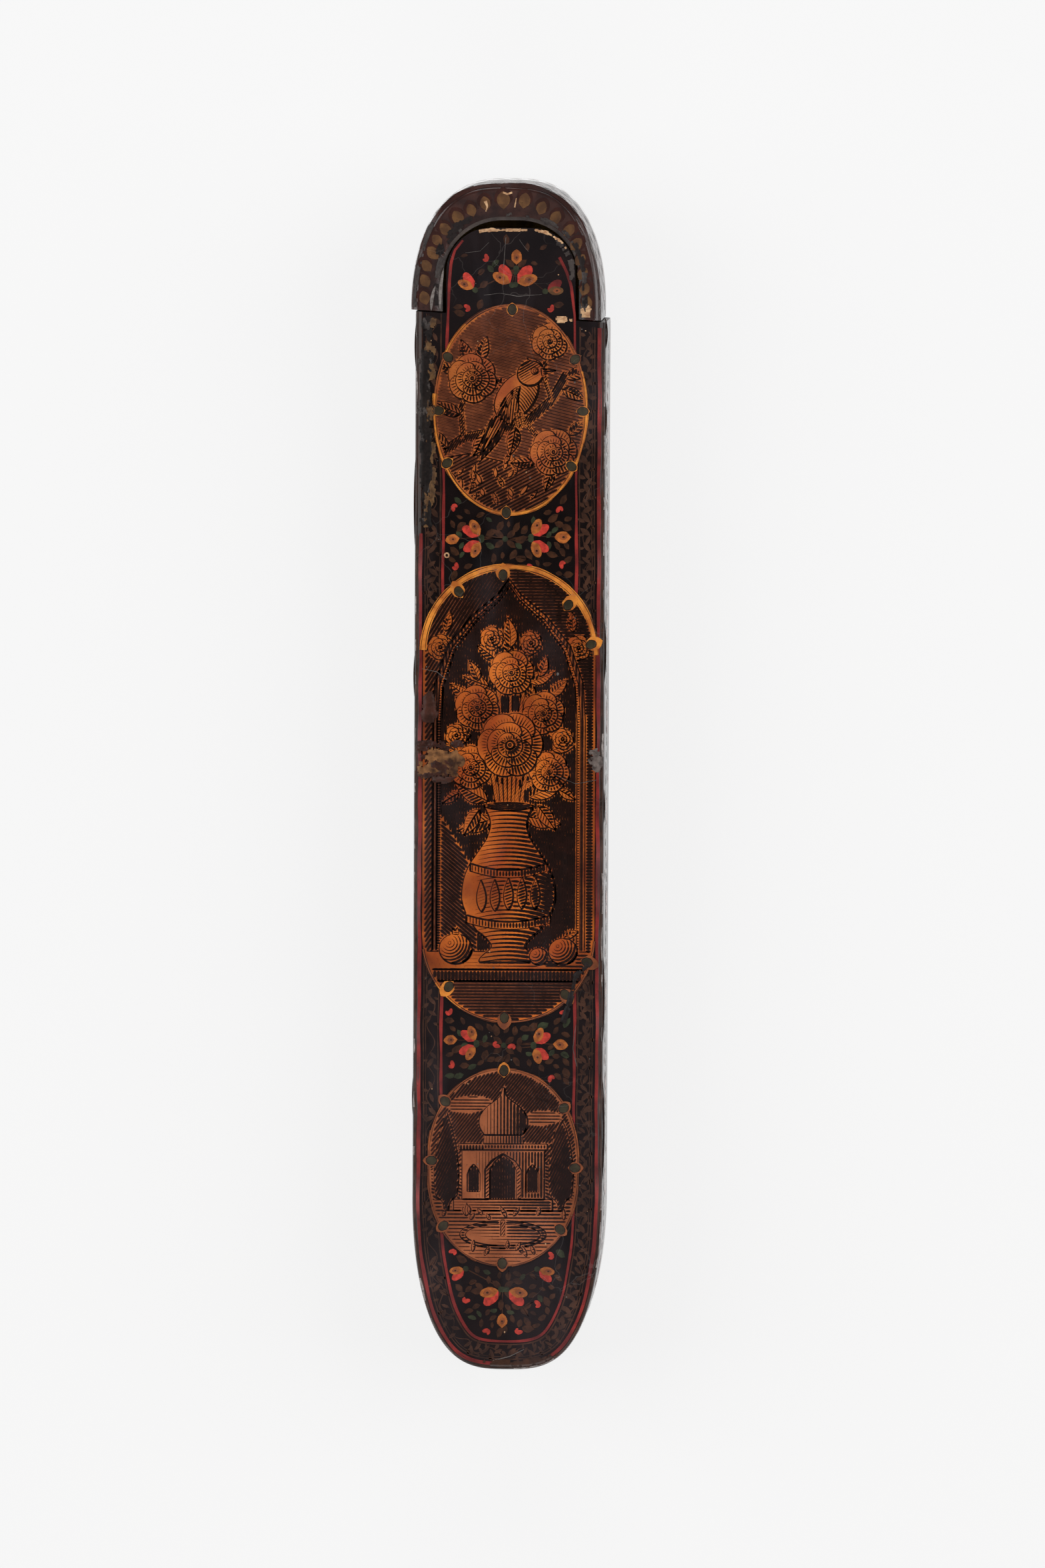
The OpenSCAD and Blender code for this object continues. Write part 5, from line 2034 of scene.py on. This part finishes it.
@dataclass
class Case:
    """The lacquered sleeve, and what has lifted or worn from it."""

    form: BoxForm
    on: Surfaces
    shelf: FinishShelf
    sliver_depth: float = 1.0
    slivers: tuple[tuple[int, float, float, float], ...] = (
        (1, 89, 83, 0.45), (1, 73, 66, 0.35), (1, 31, 18, 0.4), (1, -2, -9, 0.3),
        (1, -34, -52, 0.35), (1, -58, -79, 0.45), (-1, 88, 79, 0.3), (-1, 62, 44, 0.35),
        (-1, 24, 15, 0.3), (-1, -58, -66, 0.25))

    def shell(self) -> None:
        """Models the sleeve as a rounded block, cut back at the mouth and hollowed."""
        f = self.form
        shell = Bench.prism("case_shell", f.outline(), REST_LIFT, f.height)
        Bench.round_rims(shell, (REST_LIFT, f.height), f.edge_round, 5)
        Bench.combine(shell, Bench.prism("mouth", f.beyond_mouth(0, 0, 0, f.tongue_round), -5, f.height + 5))
        Bench.combine(shell, Bench.prism("hollow", f.outline(f.wall), f.wall, f.height - f.wall))
        # The cut faces at the mouth take the worn edge finish, with its painted pale grey highlights.
        self.shelf.dress(shell, "face_lacquer", "side_lacquer", "lining", "worn_edge_and_glints")
        centres, normals = Bench.faces(shell)
        level = centres[:, 2]
        lined = inside(centres[:, :2], f.outline(f.wall - 0.05))
        lined &= (level > f.wall - 0.01) & (level < f.height - f.wall + 0.01)
        cut = (np.abs(normals[:, 2]) < 0.1) & (centres[:, 1] > f.mouth_y - f.mouth_skew)
        cut &= inside(centres[:, :2], f.outline(0.05))
        Bench.tag(shell, np.select([lined, cut, normals[:, 2] > 0.99], [2, 3, 0], 1))
        Bench.finish(shell, "case", BOARD, "case_sleeve")

    def lifted_lacquer(self) -> None:
        """Models slivers of lacquer that have sprung from the long sides."""
        half, t = self.form.width / 2, np.linspace(0, 1, 15)
        for index, (way, top, foot, lift) in enumerate(self.slivers):
            bow, y = lift * np.sin(math.pi * t) ** 0.7, top + (foot - top) * t
            outer, inner = (np.c_[way * (half + bow * share - sunk), y]
                            for share, sunk in ((1, 0.05), (0.7, 0.25)))
            level = self.form.height - 1.3 - 0.15 * (index % 3)
            plan = np.vstack([outer, inner[::-1]])
            sliver = Bench.prism(f"lifted_lacquer_{index}", plan, level - self.sliver_depth, level)
            self.shelf.dress(sliver, "side_lacquer")
            Bench.finish(sliver, "case", BOARD)

    def worn_films(self) -> None:
        """Models the blistered border, the peeled patch, and the chips and rubbed edges."""
        end, over, tongue, flake = self.on.case.length, self.on.case.over, self.on.tongue.over, self.on.flake
        print_over = self.on.pasted_on(PRINTS[1], over)
        foot = (end / 2 - 4, end / 2 + 13, 0.2, 2.2)
        films = (
            Film(over, "blister_crust", "blistered", (0.6, 42, 0.7, 3.6), 0.4, 0.22, 1.4, 3, stretch=2),
            Film(over, "bared_ground", "bared_ground", (1, 42, 1.5, 4.2), 0.55, 0.28, 1, 7, fade=0.5,
                 stretch=2.4),
            # Loose lacquer over the blisters; its grey is partly painted sheen.
            Film(over, "blister_film_and_sheen", "lifted_film_and_sheen", (1, 42, 0.3, 3.2), 0.72, 0.4, 0.8, 13, fade=0.2,
                 stretch=3),
            Film(over, "foot_wear", Paint.BROWN, foot, 0.5, 0.01, 1.6, 19, fade=0.5),
            Film(over, "right_chip", "chipped", (end - 87.6, end - 82, 0.3, 3.5), 0.26, 0.25, 1.2, 11,
                 fade=0.7, oval=True),
            Film(print_over, "peeled_patch", "peeled", (82.9, 91.4, 0.1, 9.9), 0.34, 0.25, 3, 5, fade=2.4),
            Film(print_over, "peeled_stain", "torn", (83.6, 90.8, 0.2, 8.6), 0.6, 0.4, 2, 61),
            Film(print_over, "peeled_crust", "torn", (82.8, 84.6, 0.4, 9.9), 0.4, 0.5, 1.6, 23, fade=0.5),
            Film(print_over, "peeled_lip", "torn", (89.9, 91.5, 0.2, 8.4), 0.42, 0.5, 1.6, 37, fade=0.5),
            Film(print_over, "peeled_flap", "torn", (71.5, 83.4, 0.4, 5.4), 0.54, 0.3, 2.6, 67, fade=1.8),
            Film(tongue, "tongue_edge", Paint.PALE, (13.4, 32.5, -0.05, 0.8), 0.36, 0.03, 1.1, 17, cell=0.12,
                 fade=0.4, stretch=1.6),
            # Worn film on the tongue; its grey is partly painted sheen.
            Film(tongue, "tongue_wear_and_sheen", "lifted_film_and_sheen", (7, 17, -0.05, 1.4), 0.46, 0.05, 1.2, 83, fade=0.5),
            Film(flake.over, "print_flake", "blistered", (0, flake.length, -0.5, 0.7), 0.36, 0.3, 1.6, 31,
                 fade=0.4),
            Film(self.on.face, "tongue_chip", Paint.PALE, (8.7, 12.1, 88.1, 89.4), 0.36, 0.1, 1.4, 27,
                 fade=0.4),
        )
        for film in films:
            film.build("case", self.shelf)

    def build(self) -> None:
        """Builds every piece of the sleeve."""
        self.shell()
        self.lifted_lacquer()
        self.worn_films()


@dataclass
class Drawer:
    """The drawer's cap and trough, with the dress of what it carries."""

    form: BoxForm
    on: Surfaces
    shelf: FinishShelf
    rim_round: float = 0.45
    slivers: tuple[tuple[float, ...], ...] = ((-14.6, 95.2, -15.4, 90.3), (-13, 98.7, -13.7, 90.5))
    fittings: dict[str, str] = field(default_factory=lambda: {
        "floor_paper": "lining_paper", "ink_partition": "drawer_lacquer", "inkwell_tub": "brass",
        "inkwell_plate": "brass", "inkwell_hinge_pin": "brass", "inkwell_lid": "brass",
        "inkwell_lid_knob": "brass", "reed_pen_broad": "reed", "reed_pen_medium": "reed",
        "reed_pen_fine": "reed", "penknife_handle": "bone", "penknife_bolster": "brass",
        "penknife_blade": "steel", "nib_rest": "bone"})

    def cap(self) -> None:
        """Models the cap, with a rubbed bevel round its notch."""
        f = self.form
        depth, reach = self.on.notch.dip
        side, tip, radius = f.notch_side_gap, f.notch_tip_gap, f.notch_round
        cap = Bench.prism("cap_shell", f.outline() - (f.cap_shift, 0), REST_LIFT, f.height)
        Bench.round_rims(cap, (REST_LIFT, f.height), f.edge_round, 5)
        keep = f.beyond_mouth(f.mouth_gap, side, tip, radius)
        hollow = Bench.prism("hollow", f.outline(f.drawer_inset), f.drawer_inset, f.height - f.wall)
        Bench.combine(cap, Bench.prism("keep", keep, -5, f.height + 5), "INTERSECT")
        Bench.combine(cap, hollow)
        over = 0.2
        wide = reach * (1 + over / depth)
        foot = np.array([(-0.5 * f.tongue_width - side, f.mouth_y - 6)])
        plans = []
        for grow in (-0.02, wide):
            arch = f.tongue(side + grow, tip + grow, radius + max(grow, 0))
            leg = foot - (grow, 0)
            plans.append(np.vstack([arch, leg, leg * (-1, 1)]))
        Bench.combine(cap, Bench.prism("bevel", plans[0], f.height - depth, f.height + over, plans[1]))
        # The rubbed bevel round the notch takes the worn edge finish, with its painted pale grey highlights.
        self.shelf.dress(cap, "cap_lacquer", "worn_edge_and_glints", "lining")
        centres, normals = Bench.faces(cap)
        level = centres[:, 2]
        lined = inside(centres[:, :2], f.outline(f.drawer_inset - 0.05))
        lined &= (level > f.wall) & (level < f.height - f.wall + 0.01)
        flat = (normals[:, 2] > 0.99) & (level > f.height - 0.01)
        rubbed = ~flat & inside(centres[:, :2], f.outline(1.9) - (f.cap_shift, 0)) & (level > 1)
        Bench.tag(cap, np.select([lined, rubbed], [2, 1], 0))
        Bench.finish(cap, "drawer", BOARD, "drawer_cap")

    def worn_films(self) -> None:
        """Models the broken lacquer round the notch, the chip at its foot and the cap's split edge."""
        notch, cap, end = self.on.notch.over, self.on.cap, self.on.notch.length
        films = (
            Film(notch, "notch_crust", "blistered", (0.2, end - 0.2, 0.05, 2.2), 0.5, 0.16, 1.4, 41, fade=1.4,
                 stretch=2),
            # Loose lacquer round the notch; its grey is partly painted highlight.
            Film(notch, "notch_film_and_sheen", "lifted_film_and_sheen", (0.2, end - 0.2, 0.1, 2), 0.56, 0.25, 0.9, 43,
                 stretch=2),
            Film(notch, "notch_left", "blistered", (9, 20, 0.5, 3.2), 0.46, 0.1, 1.8, 53, fade=1.4),
            Film(notch, "notch_right", "blistered", (end - 13, end - 2, 0.1, 1.5), 0.44, 0.1, 1, 59,
                 fade=0.5, stretch=2),
            Film(notch, "shoulder_chip", Paint.PALE, (end - 2.7, end - 0.1, 0.3, 2.7), 0.28, 0.3, 1.4, 29,
                 fade=0.3),
            # Loose lacquer along the cap's split edge; its grey is partly painted highlight.
            Film(cap.over, "cap_edge_film_and_sheen", "lifted_film_and_sheen", (cap.length - 24, cap.length - 0.5, 0.2, 1.2), 0.62,
                 0.12, 0.6, 47, fade=0.2, stretch=5),
        )
        for film in films:
            film.build("drawer", self.shelf)
        for index, (x0, y0, x1, y1) in enumerate(self.slivers):
            t = np.linspace(0, 1, 9)
            line = np.c_[x0 + (x1 - x0) * t - 0.25 * np.sin(math.pi * t), y0 + (y1 - y0) * t]
            half = left_of(line) * (0.32 * np.sin(math.pi * t) ** 0.6)[:, None]
            plan = np.vstack([line + half, (line - half)[-2:0:-1]])
            sliver = Bench.prism(f"cap_sliver_{index}", plan, self.form.height - 0.5, self.form.height + 0.18)
            self.shelf.dress(sliver, "loose_strip")
            Bench.finish(sliver, "drawer", BOARD)

    def trough(self) -> None:
        """Models the trough, with its rim rounded by use."""
        f, low = self.form, self.form.drawer_inset
        top = low + f.drawer_height
        trough = Bench.prism("drawer_shell", f.outline(low), low, top)
        floor = low + f.drawer_wall
        Bench.combine(trough, Bench.prism("room", f.outline(floor), floor, top + 2))
        Bench.round_rims(trough, (top,), self.rim_round, 3)
        self.shelf.dress(trough, "drawer_lacquer")
        Bench.finish(trough, "drawer", "red_board", "drawer_trough")

    def wadding(self) -> None:
        """Models the wad of raw silk as a flattened, tangled ball."""
        low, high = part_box("ink_wadding")
        wad = Bench.start("silk_wad", bpy.ops.mesh.primitive_ico_sphere_add, subdivisions=5, radius=0.86)
        for scale, strength in ((0.5, 0.22), (0.14, 0.1)):
            tangle = bpy.data.textures.new("silk_tangle", "CLOUDS")
            tangle.noise_scale = scale
            step = wad.modifiers.new("tangle", "DISPLACE")
            step.texture = tangle
            step.strength = strength
            bpy.ops.object.modifier_apply(modifier=step.name)
        whole = [True] * len(wad.data.vertices)
        Bench.edit(wad, "VERT", whole, bpy.ops.transform.resize, value=tuple((high - low) / 2),
                   center_override=(0, 0, 0))
        Bench.edit(wad, "VERT", whole, bpy.ops.transform.translate, value=tuple((low + high) / 2))
        self.shelf.dress(wad, "silk")
        Bench.finish(wad, "drawer", "raw_silk", "ink_wadding", crease=60)

    def build(self) -> None:
        """Builds the drawer and dresses its fittings and tools."""
        self.cap()
        self.worn_films()
        self.trough()
        self.wadding()
        for node, finish in self.fittings.items():
            self.shelf.dress(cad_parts[node], finish)
            LOG.info("%s is dressed in %s", node, finish)


# Studio


@dataclass(frozen=True)
class Studio:
    """Floor, lamps and camera, in metres."""

    aim: Triple = (0.00265, -0.00127, 0.033)
    lean: Point = (0.032, 0.048)
    roll: float = -0.004
    distance: float = 5.0
    frame_height: float = 0.3037
    sensor: float = 36.0
    floor_size: float = 14.0
    floor_color: str = "#f8f8f8"
    glow: float = 0.86
    zenith: float = 0.08

    def camera(self) -> None:
        """Sets a long lens almost squarely above the painted face, its top towards the cap."""
        data = bpy.data.cameras.new("camera")
        camera = bpy.data.objects.new("camera", data)
        bpy.context.scene.collection.objects.link(camera)
        back = Vector((*self.lean, 1)).normalized()
        reach = self.distance / back.z
        right = Vector((self.roll, 1, 0)).cross(back).normalized()
        turn = Matrix((right, back.cross(right), back)).transposed().to_4x4()
        camera.matrix_world = Matrix.Translation(Vector(self.aim) + back * reach) @ turn
        data.sensor_width = self.sensor
        data.lens = self.sensor * reach / self.frame_height
        data.clip_start, data.clip_end = 0.1, 50
        bpy.context.scene.camera = camera

    def lamp(self, name: str, place: Triple, size: Point, power: float) -> None:
        """Adds a soft rectangular lamp that faces the box.

        Args:
            name: Its name.
            place: Where it hangs.
            size: Its width and height.
            power: Its strength in watts.
        """
        data = bpy.data.lights.new(name, "AREA")
        data.shape = "RECTANGLE"
        data.size, data.size_y = size
        data.energy = power
        lamp = bpy.data.objects.new(name, data)
        bpy.context.scene.collection.objects.link(lamp)
        lamp.location = place
        lamp.rotation_euler = (-Vector(place)).to_track_quat("-Z", "Y").to_euler()

    def floor(self) -> None:
        """Lays a plain pale floor that the camera sees as near white, with the box's soft shadow on it."""
        floor = Bench.start("floor", bpy.ops.mesh.primitive_plane_add, size=self.floor_size)
        material = bpy.data.materials.new("pale_floor")
        material.use_nodes = True
        b = NodeBench(material.node_tree)
        shader = material.node_tree.nodes["Principled BSDF"]
        shader.inputs["Roughness"].default_value = 0.9
        shader.inputs["Specular IOR Level"].default_value = 0.0
        tint = b.span(b.noise(b.coords(), 1.2, 2), 0.3, 0.7)
        b.feed(b.mix(tint, srgb(self.floor_color), srgb("#f2f1f0")), shader.inputs["Base Color"])
        light = b.add("Emission", {"Color": srgb(self.floor_color), "Strength": 1.0})
        path = b.add("LightPath").outputs
        seen = b.math("ADD", path["Is Camera Ray"], path["Is Glossy Ray"])
        seen = b.math("ADD", seen, path["Is Transmission Ray"], True)
        share = b.math("MULTIPLY", seen, self.glow)
        mixed = b.add("MixShader", {0: share, 1: shader.outputs[0], 2: light.outputs[0]})
        b.feed(mixed.outputs[0], material.node_tree.nodes["Material Output"].inputs["Surface"])
        floor.data.materials.append(material)

    def build(self) -> None:
        """Sets up the whole studio."""
        scene = bpy.context.scene
        scene.view_settings.view_transform = "Standard"
        world = bpy.data.worlds.new("studio")
        world.use_nodes = True
        sky = world.node_tree.nodes["Background"].inputs
        sky["Color"].default_value = (1, 1, 1, 1)
        sky["Strength"].default_value = self.zenith
        scene.world = world
        self.camera()
        self.floor()
        self.lamp("left_lamp", (-1.5, 0.3, 1.25), (1.4, 1.8), 24)
        self.lamp("right_lamp", (1.5, 0.3, 1.25), (1.4, 1.8), 24)
        self.lamp("head_lamp", (0.0, 1.9, 1.3), (1.8, 1.0), 15)
        self.lamp("foot_lamp", (0.0, -1.9, 1.3), (1.8, 1.0), 11.5)


def main() -> None:
    """Builds the studio, the case, the drawer, the ornament and the prints."""
    Studio().build()
    form = BoxForm.from_frame()
    on, shelf, stamps = Surfaces(form), FinishShelf(), StampSet()
    Case(form, on, shelf).build()
    Drawer(form, on, shelf).build()
    CaseOrnament(form, on, stamps).paint(shelf)
    DrawerOrnament(form, on, stamps).paint(shelf)
    Prints(shelf).build()


if __name__ == "__main__":
    main()
